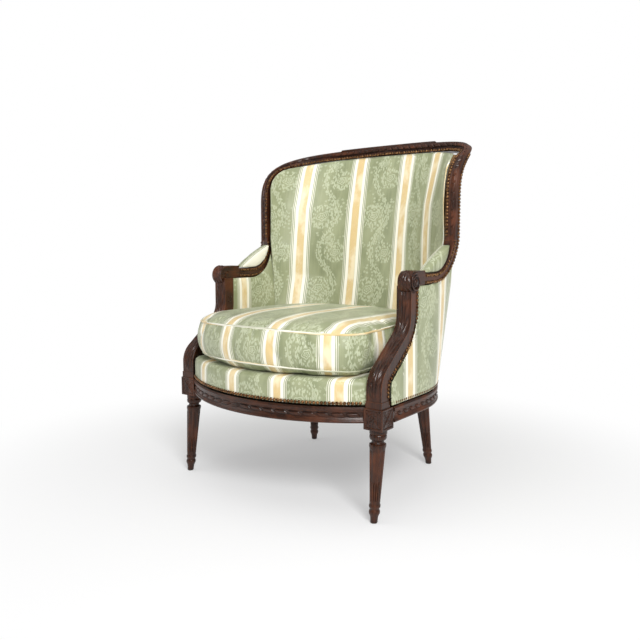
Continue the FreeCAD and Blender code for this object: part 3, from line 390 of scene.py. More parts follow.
def damask_group():
    """Striped damask: from cloth coordinates to colour, gloss and height of the weave."""
    tree, given, made = new_group("damask", [("Place", "NodeSocketVector")],
                                  [("Color", "NodeSocketColor"), ("Figure", "NodeSocketFloat"),
                                   ("Height", "NodeSocketFloat")])
    across, along, _ = split(tree, given["Place"])
    turns = calc(tree, "DIVIDE", across, STRIPE_REPEAT)
    offset = calc(tree, "MULTIPLY", calc(tree, "SUBTRACT", calc(tree, "FRACT",
                  calc(tree, "ADD", turns, 100.5)), 0.5), STRIPE_REPEAT)
    away = calc(tree, "ABSOLUTE", offset)
    gold = ramp(tree, away, 0.0100, 0.0092)
    white = band(tree, away, 0.0098, 0.0186)
    pins = calc(tree, "ADD", band(tree, away, 0.0208, 0.0226), band(tree, away, 0.0255, 0.0265))
    stripe = ramp(tree, away, 0.0272, 0.0262)

    # Field between two stripes, with its own middle
    field = calc(tree, "MULTIPLY", calc(tree, "SUBTRACT", calc(tree, "FRACT",
                 calc(tree, "ADD", turns, 100.0)), 0.5), STRIPE_REPEAT)
    bent = calc(tree, "MULTIPLY", calc(tree, "SUBTRACT", noise(tree, given["Place"], 38.0), 0.5), 0.014)
    period = 0.235
    rise = calc(tree, "MULTIPLY", calc(tree, "SUBTRACT", calc(tree, "FRACT",
                calc(tree, "ADD", calc(tree, "DIVIDE", along, period), 100.0)), 0.5), period)
    figures = []
    near = None
    for shift, level, radius in ((-0.019, -0.066, 0.017), (0.024, 0.052, 0.014), (0.002, 0.098, 0.009)):
        petals, reach = rose(tree, calc(tree, "ADD", calc(tree, "SUBTRACT", field, shift), bent),
                             calc(tree, "SUBTRACT", rise, level), radius)
        figures.append(petals)
        ring = band(tree, reach, radius * 1.12, radius * 2.3, 0.003)
        near = ring if near is None else calc(tree, "MAXIMUM", near, ring)
    vine = calc(tree, "MULTIPLY", calc(tree, "SINE", calc(tree, "MULTIPLY", along, 2 * math.pi / period)), 0.024)
    stem_way = calc(tree, "ABSOLUTE", calc(tree, "ADD", calc(tree, "SUBTRACT", field, vine), bent))
    figures.append(ramp(tree, stem_way, 0.0018, 0.0008))
    foliage = calc(tree, "MAXIMUM", leaves(tree, given["Place"], 38, 0.0065),
                   leaves(tree, given["Place"], -47, 0.0060))
    beside_stem = band(tree, stem_way, 0.0015, 0.0100, 0.002)
    figures.append(calc(tree, "MULTIPLY", foliage, calc(tree, "MAXIMUM", near, beside_stem)))
    patches = ramp(tree, noise(tree, given["Place"], 17.0, 2.0), 0.50, 0.60)
    figures.append(calc(tree, "MULTIPLY", blossoms(tree, given["Place"], 0.013), patches))
    figure = figures[0]
    for other in figures[1:]:
        figure = calc(tree, "MAXIMUM", figure, other)
    figure = calc(tree, "MULTIPLY", figure, calc(tree, "SUBTRACT", 1.0, stripe))

    warp = noise(tree, mapped(tree, given["Place"], (1400, 9, 1)), 1.0, 2.0)
    slow = noise(tree, mapped(tree, given["Place"], (26, 9, 1)), 1.0, 2.0)
    green = mixed(tree, ramp(tree, slow, 0.3, 0.7), linear(132, 139, 104), linear(158, 163, 128))
    green = mixed(tree, calc(tree, "MULTIPLY", ramp(tree, warp, 0.35, 0.7), 0.35), green, linear(176, 182, 146))
    colour = mixed(tree, calc(tree, "MULTIPLY", figure, 0.50), green, linear(214, 220, 190))
    cream = linear(247, 244, 228)
    colour = mixed(tree, calc(tree, "MULTIPLY", stripe, 0.55), colour, linear(150, 156, 122))
    colour = mixed(tree, pins, colour, cream)
    colour = mixed(tree, white, colour, cream)
    ribs = ramp(tree, calc(tree, "SINE", calc(tree, "MULTIPLY", across, 2 * math.pi / 0.0026)), -0.4, 0.8)
    # Pale patches on the gold stripe, scattered by noise: partly woven warp variation, partly painted sheen.
    fade = ramp(tree, noise(tree, mapped(tree, given["Place"], (30, 14, 1)), 1.0, 3.0), 0.42, 0.64)
    straw = mixed(tree, ribs, linear(212, 182, 122), linear(238, 216, 166))
    straw = mixed(tree, calc(tree, "MULTIPLY", fade, 0.75), straw, linear(246, 234, 202))
    colour = mixed(tree, gold, colour, straw)
    tree.links.new(colour, made["Color"])
    tree.links.new(figure, made["Figure"])
    weave = calc(tree, "SINE", calc(tree, "MULTIPLY", along, 2 * math.pi / 0.0008))
    relief = calc(tree, "ADD", calc(tree, "MULTIPLY", figure, 0.55), calc(tree, "MULTIPLY", weave, 0.08))
    relief = calc(tree, "ADD", relief, calc(tree, "MULTIPLY", calc(tree, "MAXIMUM", white, gold),
                                            calc(tree, "ADD", 0.3, calc(tree, "MULTIPLY", ribs, 0.25))))
    tree.links.new(relief, made["Height"])
    return tree


def silk_material(name, group):
    material, tree, shader = new_material(name, Sheen_Weight=0.25, Sheen_Roughness=0.35,
                                          Specular_IOR_Level=0.45)
    shader["Sheen Tint"].default_value = (0.95, 0.97, 0.85, 1)
    place = node(tree, "ShaderNodeUVMap", uv_map="cloth").outputs[0]
    cloth = grouped(tree, group, Place=place)
    tree.links.new(cloth["Color"], shader["Base Color"])
    feed(tree, shader["Roughness"], ramp(tree, cloth["Figure"], 0.0, 1.0, 0.34, 0.54))
    feed(tree, shader["Normal"], bumped(tree, cloth["Height"], 0.0005, 0.55))
    return material


def walnut_group():
    """Old polished wood: grain, painted shade in the recesses and worn edges."""
    tree, given, made = new_group("old_walnut",
                                  [("Place", "NodeSocketVector"), ("Open", "NodeSocketFloat"),
                                   ("Edge", "NodeSocketFloat")],
                                  [("Color", "NodeSocketColor"), ("Roughness", "NodeSocketFloat"),
                                   ("Height", "NodeSocketFloat")])
    grain = noise(tree, mapped(tree, given["Place"], (260, 260, 14)), 1.0, 4.0, 0.6)
    pores = noise(tree, mapped(tree, given["Place"], (1500, 1500, 60)), 1.0, 2.0)
    slow = noise(tree, given["Place"], 14.0, 3.0)
    colour = mixed(tree, ramp(tree, grain, 0.32, 0.68), linear(34, 17, 9), linear(66, 34, 17))
    colour = mixed(tree, calc(tree, "MULTIPLY", ramp(tree, slow, 0.45, 0.7), 0.55), colour,
                   linear(104, 54, 26))
    colour = mixed(tree, calc(tree, "MULTIPLY", ramp(tree, pores, 0.62, 0.72), 0.6), colour, linear(34, 20, 14))
    worn = calc(tree, "MULTIPLY", ramp(tree, given["Edge"], 0.03, 0.30),
                ramp(tree, noise(tree, given["Place"], 55.0), 0.38, 0.62, 0.25, 0.95))
    colour = mixed(tree, worn, colour, linear(150, 86, 46))
    # Painted shade: ambient occlusion darkens the colour to near-black in recesses and raises the roughness
    # there.
    painted_recess_shade = ramp(tree, given["Open"], 0.88, 0.35)
    colour = mixed(tree, calc(tree, "MULTIPLY", painted_recess_shade, 0.85), colour, linear(14, 9, 7))
    tree.links.new(colour, made["Color"])
    rough = ramp(tree, slow, 0.3, 0.7, 0.24, 0.38)
    tree.links.new(calc(tree, "ADD", rough, calc(tree, "MULTIPLY", painted_recess_shade, 0.25)), made["Roughness"])
    tree.links.new(calc(tree, "SUBTRACT", grain, calc(tree, "MULTIPLY", pores, 0.6)), made["Height"])
    return tree


def wood_material(name, group, turn):
    """Walnut whose grain runs along Z after the given turn of the coordinates."""
    material, tree, shader = new_material(name, Specular_IOR_Level=0.32, Coat_Weight=0.06, Coat_Roughness=0.2)
    place = node(tree, "ShaderNodeTexCoord").outputs["Object"]
    turned = node(tree, "ShaderNodeMapping")
    turned.inputs["Rotation"].default_value = [math.radians(angle) for angle in turn]
    tree.links.new(place, turned.inputs["Vector"])
    # Ambient occlusion feeds the painted shade in the wood's recesses.
    open_sky = node(tree, "ShaderNodeAmbientOcclusion", samples=8)
    open_sky.inputs["Distance"].default_value = 0.016
    rounded = node(tree, "ShaderNodeBevel", samples=6)
    rounded.inputs["Radius"].default_value = 0.0022
    true_normal = node(tree, "ShaderNodeNewGeometry").outputs["Normal"]
    likeness = node(tree, "ShaderNodeVectorMath", operation="DOT_PRODUCT")
    tree.links.new(rounded.outputs[0], likeness.inputs[0])
    tree.links.new(true_normal, likeness.inputs[1])
    edge = calc(tree, "SUBTRACT", 1.0, likeness.outputs["Value"])
    wood = grouped(tree, group, Place=turned.outputs[0], Open=open_sky.outputs["AO"], Edge=edge)
    tree.links.new(wood["Color"], shader["Base Color"])
    tree.links.new(wood["Roughness"], shader["Roughness"])
    feed(tree, shader["Normal"], bumped(tree, wood["Height"], 0.0004, 0.35))
    return material


def plain_wood_material():
    material, tree, shader = new_material("raw_beech", Specular_IOR_Level=0.3)
    place = node(tree, "ShaderNodeTexCoord").outputs["Object"]
    grain = noise(tree, mapped(tree, place, (180, 180, 12)), 1.0, 3.0)
    tree.links.new(mixed(tree, ramp(tree, grain, 0.3, 0.7), linear(170, 128, 84), linear(204, 166, 118)),
                   shader["Base Color"])
    feed(tree, shader["Roughness"], ramp(tree, grain, 0.0, 1.0, 0.6, 0.8))
    return material


def bronze_material():
    """Aged nail heads: dark bronze with brighter rubbed patches scattered by noise."""
    material, tree, shader = new_material("aged_bronze", Metallic=1.0)
    place = node(tree, "ShaderNodeTexCoord").outputs["Object"]
    spots = noise(tree, place, 160.0, 3.0)
    tree.links.new(mixed(tree, ramp(tree, spots, 0.35, 0.65), linear(70, 46, 30), linear(150, 112, 76)),
                   shader["Base Color"])
    feed(tree, shader["Roughness"], ramp(tree, spots, 0.3, 0.7, 0.24, 0.46))
    return material


def steel_material():
    material, tree, shader = new_material("polished_steel", Metallic=1.0)
    place = node(tree, "ShaderNodeTexCoord").outputs["Object"]
    marks = noise(tree, place, 240.0, 2.0)
    tree.links.new(mixed(tree, marks, linear(120, 120, 118), linear(178, 178, 175)), shader["Base Color"])
    feed(tree, shader["Roughness"], ramp(tree, marks, 0.3, 0.7, 0.25, 0.45))
    return material


def weave_material(name, dark, light, thread):
    """Plain woven cloth, its thread pitch in metres."""
    material, tree, shader = new_material(name, Sheen_Weight=0.2, Specular_IOR_Level=0.2)
    place = node(tree, "ShaderNodeTexCoord").outputs["Object"]
    across, along, _ = split(tree, place)
    waves = [calc(tree, "SINE", calc(tree, "MULTIPLY", value, 2 * math.pi / thread)) for value in (across, along)]
    height = calc(tree, "MULTIPLY", *waves)
    spots = noise(tree, place, 90.0)
    shade = ramp(tree, calc(tree, "ADD", calc(tree, "MULTIPLY", height, 0.3), spots), 0.2, 0.9)
    tree.links.new(mixed(tree, shade, dark, light), shader["Base Color"])
    feed(tree, shader["Roughness"], ramp(tree, spots, 0.3, 0.7, 0.8, 0.95))
    feed(tree, shader["Normal"], bumped(tree, height, 0.0004, 0.5))
    return material


DAMASK = damask_group()
WALNUT = walnut_group()
SILK = silk_material("striped_damask", DAMASK)
WOOD_UPRIGHT = wood_material("walnut_upright", WALNUT, (0, 0, 0))
WOOD_ACROSS = wood_material("walnut_across", WALNUT, (0, 90, 0))
WOOD_LENGTHWISE = wood_material("walnut_lengthwise", WALNUT, (90, 0, 0))
RAW_WOOD = plain_wood_material()
BRONZE = bronze_material()
STEEL = steel_material()
BLACK_CLOTH = weave_material("black_bottom_cloth", linear(20, 20, 20), linear(44, 43, 42), 0.0016)
JUTE = weave_material("jute_webbing", linear(128, 100, 64), linear(182, 150, 104), 0.0030)
HESSIAN = weave_material("hessian", linear(140, 112, 72), linear(190, 160, 112), 0.0024)


# Nails
def nail_places(name):
    """Middle and outward direction of each nail head of a node, from its mesh."""
    piece = copy_of(NODES[name], "nail_probe")
    outward(piece, 1e-6)
    mesh = piece.data
    owner = list(range(len(mesh.vertices)))

    def root(number):
        while owner[number] != number:
            owner[number] = owner[owner[number]]
            number = owner[number]
        return number

    for edge in mesh.edges:
        first, second = [root(number) for number in edge.vertices]
        owner[first] = second
    heads = {}
    for face in mesh.polygons:
        heads.setdefault(root(face.vertices[0]), []).append(face)
    places = []
    for faces in heads.values():
        groups = {}
        for face in faces:
            key = tuple(round(value, 2) for value in face.normal)
            groups.setdefault(key, []).append(face)
        ranked = sorted(groups.values(), key=lambda members: -sum(face.area for face in members))
        base = ranked[0]
        area = sum(face.area for face in base)
        middle = sum((face.center * face.area for face in base), Vector()) / area
        places.append((middle, -base[0].normal.copy()))
    bpy.data.objects.remove(piece)
    return places


def ordered(places):
    """Puts places in a row, each next to its nearest neighbour, from the one furthest forward."""
    left = sorted(places, key=lambda item: (item[0].z, item[0].y))
    row = [left.pop(0)]
    while left:
        nearest = min(range(len(left)), key=lambda number: (left[number][0] - row[-1][0]).length)
        row.append(left.pop(nearest))
    return row


def nail_head(name="nail_head"):
    """Domed head with a small flat rim."""
    deselect()
    bpy.ops.mesh.primitive_uv_sphere_add(segments=10, ring_count=6, radius=1)
    head = added(name)
    points = points_of(head)
    points[:, 2] = np.maximum(points[:, 2], -0.12)
    put_points(head, points * (0.00445, 0.00445, 0.0030))
    outward(head, 1e-6)
    smooth(head)
    return head


def placed_copies(name, source, frames):
    """Copies of a piece at many places in one mesh."""
    points = points_of(source)
    faces = [tuple(face.vertices) for face in source.data.polygons]
    all_points, all_faces = [], []
    for matrix in frames:
        start = len(all_points)
        all_points += [matrix @ Vector(point) for point in points]
        all_faces += [tuple(start + number for number in face) for face in faces]
    mesh = bpy.data.meshes.new(name)
    mesh.from_pydata(all_points, [], all_faces)
    piece = bpy.data.objects.new(name, mesh)
    bpy.context.scene.collection.objects.link(piece)
    smooth(piece)
    return piece


def standing(place, out, along=None):
    """Frame at a place whose Z points out of the surface and whose X runs along it."""
    out = out.normalized()
    side = (along or (UP if abs(out.z) < 0.9 else OUT)).normalized()
    side = (side - out * side.dot(out)).normalized()
    other = out.cross(side)
    turn = Matrix((side, other, out)).transposed().to_4x4()
    return Matrix.Translation(place) @ turn


def nails():
    head = nail_head()
    for name in ("nails_front_border", "nails_seat_rail", "nails_back_frame", "nails_arm_right",
                 "nails_arm_left"):
        places = nail_places(name)
        piece = placed_copies(name + "_heads", head, [standing(place, out) for place, out in places])
        finished(piece, "nail_brass", BRONZE, name)
    bpy.data.objects.remove(head)


# Carved wood
def ribbon_motif(length, width, height, slant):
    """One turn of a ribbon: a pillow with slanted ends, and its mirror image."""
    turn = math.tan(math.radians(slant))

    def place(across, along):
        u, v = 2 * across - 1, 2 * along - 1
        rise = (1 - u ** 4) ** 0.5 * (1 - abs(v) ** 3) ** 0.5
        return ((u * length + v * width * turn) / 2, v * width / 2, height * (rise * (1 - 0.25 * v) - 0.15))
    lobe = grid("ribbon_lobe", 13, 9, place)
    other = copy_of(lobe, "ribbon_lobe_mirrored")
    other.data.transform(Matrix.Scale(-1, 4, Vector((0, 1, 0))))
    other.data.flip_normals()
    return lobe, other


def bead_motif(radius):
    deselect()
    bpy.ops.mesh.primitive_uv_sphere_add(segments=10, ring_count=8, radius=radius)
    bead = added("bead")
    points = points_of(bead)
    points[:, 2] *= 0.85
    put_points(bead, points)
    smooth(bead)
    return bead


def spaced(path, pitch, start=None):
    """Places, tangents and directions at even steps along a path of places and directions."""
    found = []
    due = pitch / 2 if start is None else start
    travelled = 0.0
    for (first, out_first), (second, out_second) in zip(path, path[1:]):
        length = (second - first).length
        while length > 0 and due <= travelled + length:
            share = (due - travelled) / length
            found.append((first.lerp(second, share), (second - first).normalized(),
                          out_first.lerp(out_second, share).normalized()))
            due += pitch
        travelled += length
    return found


def ribbon_band(name, path, pitch, lobes, bead):
    """Slanting lobes with a bead between each two; they lean the other way on the left."""
    frames = ([], [])
    for place, along, out in spaced(path, pitch):
        frames[place.x > 0].append(standing(place, out, along))
    beads = [standing(place, out, along) for place, along, out in spaced(path, pitch, pitch)]
    members = [placed_copies(f"{name}_{number}", lobe, frames[number]) for number, lobe in enumerate(lobes)]
    return joined(name, members + [placed_copies(name + "_beads", bead, beads)])


def rail_path(name, inward, level):
    """Path on a seat rail below a row of nails."""
    path = []
    for place, out in ordered(nail_places(name)):
        flat = Vector((out.x, out.y, 0)).normalized()
        path.append((Vector((place.x, place.y, level)) - flat * inward, flat))
    return path


def rail_carving():
    bead = bead_motif(0.0024)
    level = RAIL_LOW + 0.0181
    for name, row, pitch, share in (("front_rail_carving", "nails_front_border", 0.0360, 0.90),
                                    ("side_rail_carving", "nails_seat_rail", 0.0300, 0.62)):
        lobes = ribbon_motif(pitch * share, 0.0120, 0.0048, 38)
        piece = ribbon_band(name, rail_path(row, 0.0030, level), pitch, lobes, bead)
        finished(piece, "frame_wood", WOOD_ACROSS)
        for lobe in lobes:
            bpy.data.objects.remove(lobe)
    bpy.data.objects.remove(bead)


def frame_path(shift, lift):
    """Path on the face of the back frame, moved outwards from the row of nails on its inner margin."""
    rows = ordered(nail_places("nails_back_frame"))
    path = []
    for number, (place, out) in enumerate(rows):
        ahead = rows[min(number + 1, len(rows) - 1)][0] - rows[max(number - 1, 0)][0]
        across = ahead.cross(out).normalized()
        if across.dot(place - Vector((0, place.y, 0.70))) < 0:
            across = -across
        face = across.cross(ahead).normalized()
        if face.dot(out) < 0:
            face = -face
        path.append((place + across * shift + face * lift, face))
    return path


def frame_carving():
    lobes = ribbon_motif(0.0185, 0.0095, 0.0028, 40)
    bead = bead_motif(0.0016)
    piece = ribbon_band("back_frame_carving", frame_path(0.0160, -0.0002), 0.0230, lobes, bead)
    finished(piece, "frame_wood", WOOD_UPRIGHT)
    for item in (*lobes, bead):
        bpy.data.objects.remove(item)


def leaf_height(across, along, lobes):
    """Relief of a long leaf: across -1 to 1, along 0 to 1; midrib, slanting fingers and lobed edge."""
    side = abs(across)
    finger = 0.5 + 0.5 * math.cos(2 * math.pi * (lobes * along - 1.3 * side))
    edge = 0.80 + 0.18 * finger
    if side >= edge:
        return 0.0
    swell = (1 - (side / edge) ** 3) ** 0.5
    rib = math.exp(-(side / 0.11) ** 2)
    valley = math.exp(-((side - 0.24) / 0.07) ** 2)
    return swell * (0.45 + 0.55 * finger ** 0.7 * min(1.0, side * 3)) + 0.45 * rib - 0.35 * valley


def relief(name, tree, columns, rows, aim, height):
    """Carved skin over a surface: rays find the surface, and the height lifts the skin off it."""
    def place(across, along):
        start, direction = aim(across, along)
        hit, normal, _, _ = tree.ray_cast(start, direction)
        if hit is None:
            return start
        if normal.dot(direction) > 0:
            normal = -normal
        return hit + normal * height(across, along)
    piece = grid(name, columns, rows, place)
    smooth(piece)
    return piece


def support_carving():
    """Long leaf on the front face of each arm support."""
    tree = tree_of("arm_support_right")
    low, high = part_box("arm_support_right")
    middle = (low.x + high.x) / 2
    half = 0.0185
    foot, head = RAIL_TOP + 0.017, high.z - 0.004

    def aim(across, along):
        level = foot + (head - foot) * along
        return Vector((middle + (2 * across - 1) * half, -1.0, level)), Vector((0, 1, 0))

    def height(across, along):
        side = 2 * across - 1
        border = 0.0012 if abs(side) > 0.9 else 0.0
        ends = min(1.0, along * 14, (1 - along) * 14)
        leaf = leaf_height(side / 0.9, along, 6)
        return 0.0058 * leaf * ends + border - 0.0012

    right = relief("arm_support_right_carving", tree, 29, 150, aim, height)
    left = mirrored_copy(right, "arm_support_left_carving")
    for piece in (right, left):
        finished(piece, "frame_wood", WOOD_UPRIGHT)


def rosette_height(across, along):
    """Four leaves crossed on a square panel, with a button in the middle."""
    x, y = 2 * across - 1, 2 * along - 1
    reach = math.hypot(x, y)
    if max(abs(x), abs(y)) > 0.97:
        return 0.0
    angle = math.atan2(y, x)
    turn = math.cos(2 * angle - math.pi / 2)
    diagonal = abs(math.sin(2 * angle))
    width = diagonal ** 1.2
    leaf = width * (1.0 - 0.35 * reach) * (0.75 + 0.25 * math.cos(reach * 20))
    rib = math.exp(-((1 - diagonal) / 0.05) ** 2) * 0.25 * (reach > 0.2)
    small = max(0.0, 1 - diagonal * 2.2) * 0.45 * max(0.0, 1 - abs(reach - 0.55) / 0.35)
    button = max(0.0, 1 - (reach / 0.20) ** 2)
    return 0.0034 * (max(leaf * 0.85, small) * min(1.0, reach * 5) + rib + 0.9 * button) + 0.0001 * turn


def scroll_carving():
    """Spiral volute on both faces of each arm scroll and leaves on its rounded front."""
    low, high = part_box("arm_right")
    eye = Vector(((low.x + high.x) / 2, low.y + 0.0275, 0.573))
    radius = 0.0275
    members = []
    for side in (1, -1):
        face = eye.x + side * 0.0170
        turns = 1.55

        def place(around, along, face=face, side=side):
            spin = along * turns * 2 * math.pi
            reach = (radius - 0.0035) * (1 - along) ** 0.85 * 0.72 + 0.0095 * along + (radius - 0.0035) * 0.28 * (
                1 - along)
            thick = 0.0030 - 0.0011 * along
            bend = around * 2 * math.pi
            out = reach + thick * math.cos(bend)
            rise = max(-0.0005, thick * 0.9 * math.sin(bend))
            angle = math.pi / 2 - 0.35 + spin
            return (face + side * rise, eye.y + out * math.cos(angle), eye.z + out * math.sin(angle))
        spiral = rolled("spiral", 9, 110, place)
        smooth(spiral)
        members.append(spiral)
        deselect()
        bpy.ops.mesh.primitive_uv_sphere_add(segments=20, ring_count=10, radius=0.0078,
                                             location=(face, eye.y, eye.z))
        button = added("eye")
        apply_place(button)
        points = points_of(button)
        points[:, 0] = face + (points[:, 0] - face) * 0.45
        put_points(button, points)
        smooth(button)
        members.append(button)

    def front(across, along):
        side = 2 * across - 1
        angle = math.radians(80 + 190 * along)
        leaf = leaf_height(side / 0.95, along, 4)
        lift = radius - 0.0006 + 0.0040 * leaf * min(1.0, along * 8, (1 - along) * 8)
        return (eye.x + side * 0.0165, eye.y + lift * math.cos(angle), eye.z + lift * math.sin(angle))
    leaf = grid("leaf", 25, 70, front)
    smooth(leaf)
    right = joined("arm_right_carving", members + [leaf])
    left = mirrored_copy(right, "arm_left_carving")
    for piece in (right, left):
        finished(piece, "frame_wood", WOOD_LENGTHWISE)


# Turned legs
LEG_PROFILE = [
    # radius and height above the floor
    (0.0088, 0.0020), (0.0090, 0.0040), (0.0092, 0.0100), (0.0100, 0.0160), (0.0118, 0.0210),
    (0.0133, 0.0240), (0.0138, 0.0275), (0.0133, 0.0310), (0.0120, 0.0335), (0.0117, 0.0365),
    (0.0136, 0.0385), (0.0143, 0.0415), (0.0141, 0.0445), (0.0129, 0.0470), (0.0129, 0.0500),
]
LEG_HEAD = [
    (0.0195, 0.1820), (0.0206, 0.1850), (0.0209, 0.1885), (0.0203, 0.1920), (0.0160, 0.1940),
    (0.0148, 0.1975), (0.0152, 0.2005), (0.0192, 0.2030), (0.0208, 0.2065), (0.0213, 0.2100),
    (0.0208, 0.2135), (0.0196, 0.2155), (0.0216, 0.2170), (0.0216, 0.2280), (0.0216, 0.2420),
]
FLUTES = 8
SHAFT_LOW, SHAFT_TOP = 0.0500, 0.1820
FLUTE_LOW, FLUTE_TOP = 0.0530, 0.1790
CABLE_TOP = 0.101


def leg_radius(level):
    """Radius of the plain turned leg at a height."""
    shaft = [(0.0129, SHAFT_LOW), (0.0195, SHAFT_TOP)]
    outline = LEG_PROFILE + shaft[1:] + LEG_HEAD[1:]
    for (first, low), (second, high) in zip(outline, outline[1:]):
        if level <= high:
            return first + (second - first) * (level - low) / (high - low) if high > low else second
    return outline[-1][0]


def leg_point(around, level):
    """Point on the fluted leg, its lower flutes filled with cables."""
    angle = around * 2 * math.pi
    radius = leg_radius(level)
    if FLUTE_LOW < level < FLUTE_TOP:
        share = (around * FLUTES) % 1.0
        across = abs(share - 0.5) / 0.36
        end = min(level - FLUTE_LOW, FLUTE_TOP - level) / 0.0045
        round_end = math.sqrt(max(0.0, 1 - (1 - min(1.0, end)) ** 2))
        if across < round_end:
            hollow = math.sqrt(1 - (across / max(round_end, 1e-6)) ** 2) if round_end > 0 else 0.0
            radius -= 0.0028 * hollow ** 0.7
            if level < CABLE_TOP:
                head = math.sqrt(max(0.0, 1 - max(0.0, (level - CABLE_TOP + 0.004) / 0.004) ** 2))
                cable = max(0.0, 1 - (across / 0.62) ** 2) ** 0.5
                radius += 0.0027 * cable * head
    return (radius * math.cos(angle), radius * math.sin(angle), level)


def leg_levels(top):
    levels = [level for _, level in LEG_PROFILE]
    count = 44
    levels += [SHAFT_LOW + (SHAFT_TOP - SHAFT_LOW) * step / count for step in range(1, count)]
    levels += [level for _, level in LEG_HEAD if level < top - 0.0005] + [top]
    return levels


def turned_leg(name, top):
    """Upright leg about the Z axis, from its foot to its top, closed at both ends."""
    levels = leg_levels(top)
    leg = rolled(name, 97, len(levels), lambda around, along: leg_point(
        around, levels[round(along * (len(levels) - 1))]))
    choose(leg)
    bpy.ops.object.mode_set(mode="EDIT")
    bpy.ops.mesh.select_all(action="DESELECT")
    bpy.ops.mesh.select_mode(type="EDGE")
    bpy.ops.mesh.select_non_manifold()
    bpy.ops.mesh.edge_face_add()
    bpy.ops.object.mode_set(mode="OBJECT")
    outward(leg, 1e-6)
    smooth(leg, 50)
    return leg


def leg_axis(name, top):
    """Foot and head of a leg's axis, from slices of its node."""
    points = points_of(NODES[name])
    ends = []
    for low, high in ((0.0, 0.006), (0.2125, 0.2250)):
        part = points[(points[:, 2] >= low) & (points[:, 2] <= high)]
        ends.append((part.min(0) + part.max(0)) / 2)
    foot, head = [Vector(end) for end in ends]
    return foot, (head - foot).normalized()


def raked(leg, name, top):
    """Leans an upright leg to its node's axis and keeps its foot flat on the glide."""
    foot, axis = leg_axis(name, top)
    points = points_of(leg)
    slope = Vector((axis.x / axis.z, axis.y / axis.z))
    origin = Vector((foot.x - slope.x * foot.z, foot.y - slope.y * foot.z))
    points[:, 0] += origin.x + slope.x * points[:, 2]
    points[:, 1] += origin.y + slope.y * points[:, 2]
    put_points(leg, points)
    return leg


def leg_block(name, corner):
    """Square block with rounded edges and two sunk panels, front and side."""
    deselect()
    middle = corner + Vector((BLOCK_SIZE, BLOCK_SIZE, BLOCK_SIZE)) / 2
    bpy.ops.mesh.primitive_cube_add(size=BLOCK_SIZE, location=middle)
    block = added(name)
    apply_place(block)
    for direction in (Vector((0, -1, 0)), OUT):
        choose(block)
        for face in block.data.polygons:
            face.select = face.normal.dot(direction) > 0.9 and face.area > 0.5 * BLOCK_SIZE ** 2
        for edge in block.data.edges:
            edge.select = False
        for vertex in block.data.vertices:
            vertex.select = False
        for face in block.data.polygons:
            if face.select:
                for number in face.vertices:
                    block.data.vertices[number].select = True
        bpy.ops.object.mode_set(mode="EDIT")
        bpy.ops.mesh.select_mode(type="FACE")
        bpy.ops.mesh.inset(thickness=PANEL_MARGIN - 0.001)
        bpy.ops.mesh.inset(thickness=0.0012, depth=-PANEL_DEPTH)
        bpy.ops.object.mode_set(mode="OBJECT")
    modified(block, "BEVEL", width=0.0012, segments=2, limit_method="ANGLE", angle_limit=math.radians(40))
    smooth(block, 35)
    return block


def block_panels(name, corner):
    """Crossed leaves on the two sunk panels of a block."""
    field = BLOCK_SIZE - 2 * PANEL_MARGIN
    members = []
    for number, (face, side) in enumerate(((Vector((0, -1, 0)), OUT), (OUT, Vector((0, 1, 0))))):
        base = corner + Vector((PANEL_MARGIN, PANEL_MARGIN, PANEL_MARGIN))
        depth = PANEL_DEPTH + 0.0002
        if number == 0:
            base.y = corner.y + depth
        else:
            base.x = corner.x + BLOCK_SIZE - depth

        def place(across, along, base=base, face=face, side=side):
            return base + side * (field * across) + UP * (field * along) + face * rosette_height(across, along)
        panel = grid("panel", 41, 41, place)
        smooth(panel)
        members.append(panel)
    return joined(name, members)


def legs():
    top_front = BLOCK_LOW.z
    for name, side in SIDES:
        front = raked(turned_leg("front_leg_turning", top_front + 0.002), "front_leg_" + name, top_front)
        corner = Vector((SEAT_HALF - 0.004 - BLOCK_SIZE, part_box("front_leg_right")[0].y, top_front))
        corner.y = block_front
        block = leg_block("front_leg_block", corner)
        carving = block_panels("front_leg_panels", corner)
        if side < 0:
            for piece in (block, carving):
                piece.data.transform(Matrix.Scale(-1, 4, OUT))
                piece.data.flip_normals()
        whole = joined(f"front_leg_{name}_carved", [front, block, carving])
        finished(whole, "frame_wood", WOOD_UPRIGHT, "front_leg_" + name)
        rear = raked(turned_leg(f"rear_leg_{name}_turned", RAIL_LOW), "rear_leg_" + name, RAIL_LOW)
        finished(rear, "frame_wood", WOOD_UPRIGHT, "rear_leg_" + name)


def block_front_line():
    """Front face of the leg blocks, where the support's plinth stands 2.5 mm behind it."""
    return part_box("arm_support_right")[0].y - 0.0025


block_front = block_front_line()


# Upholstery
WALL_CENTRE = Vector((0, -0.054, 0))


def wall_hit(tree, angle, level, inside):
    """Place on the upholstered wall in a direction in degrees from its centre, at a level."""
    direction = Vector((math.cos(math.radians(angle)), math.sin(math.radians(angle)), 0))
    middle = WALL_CENTRE + UP * level
    start, aim = (middle, direction) if inside else (middle + direction * 1.5, -direction)
    return tree.ray_cast(start, aim)[0]


def pulled_hit(tree, angle, level, inside, middle):
    """As wall_hit, but turned towards the piece's middle until the cover is met."""
    step = PULL_STEP if middle > angle else -PULL_STEP
    for number in range(PULL_TRIES):
        hit = wall_hit(tree, angle + step * number, level, inside)
        if hit:
            return hit
    return None


def highest(tree, angle, low, high, inside, middle):
    """Highest level at which the cover is met in that direction."""
    for _ in range(13):
        level = (low + high) / 2
        if pulled_hit(tree, angle, level, inside, middle):
            low = level
        else:
            high = level
    return low


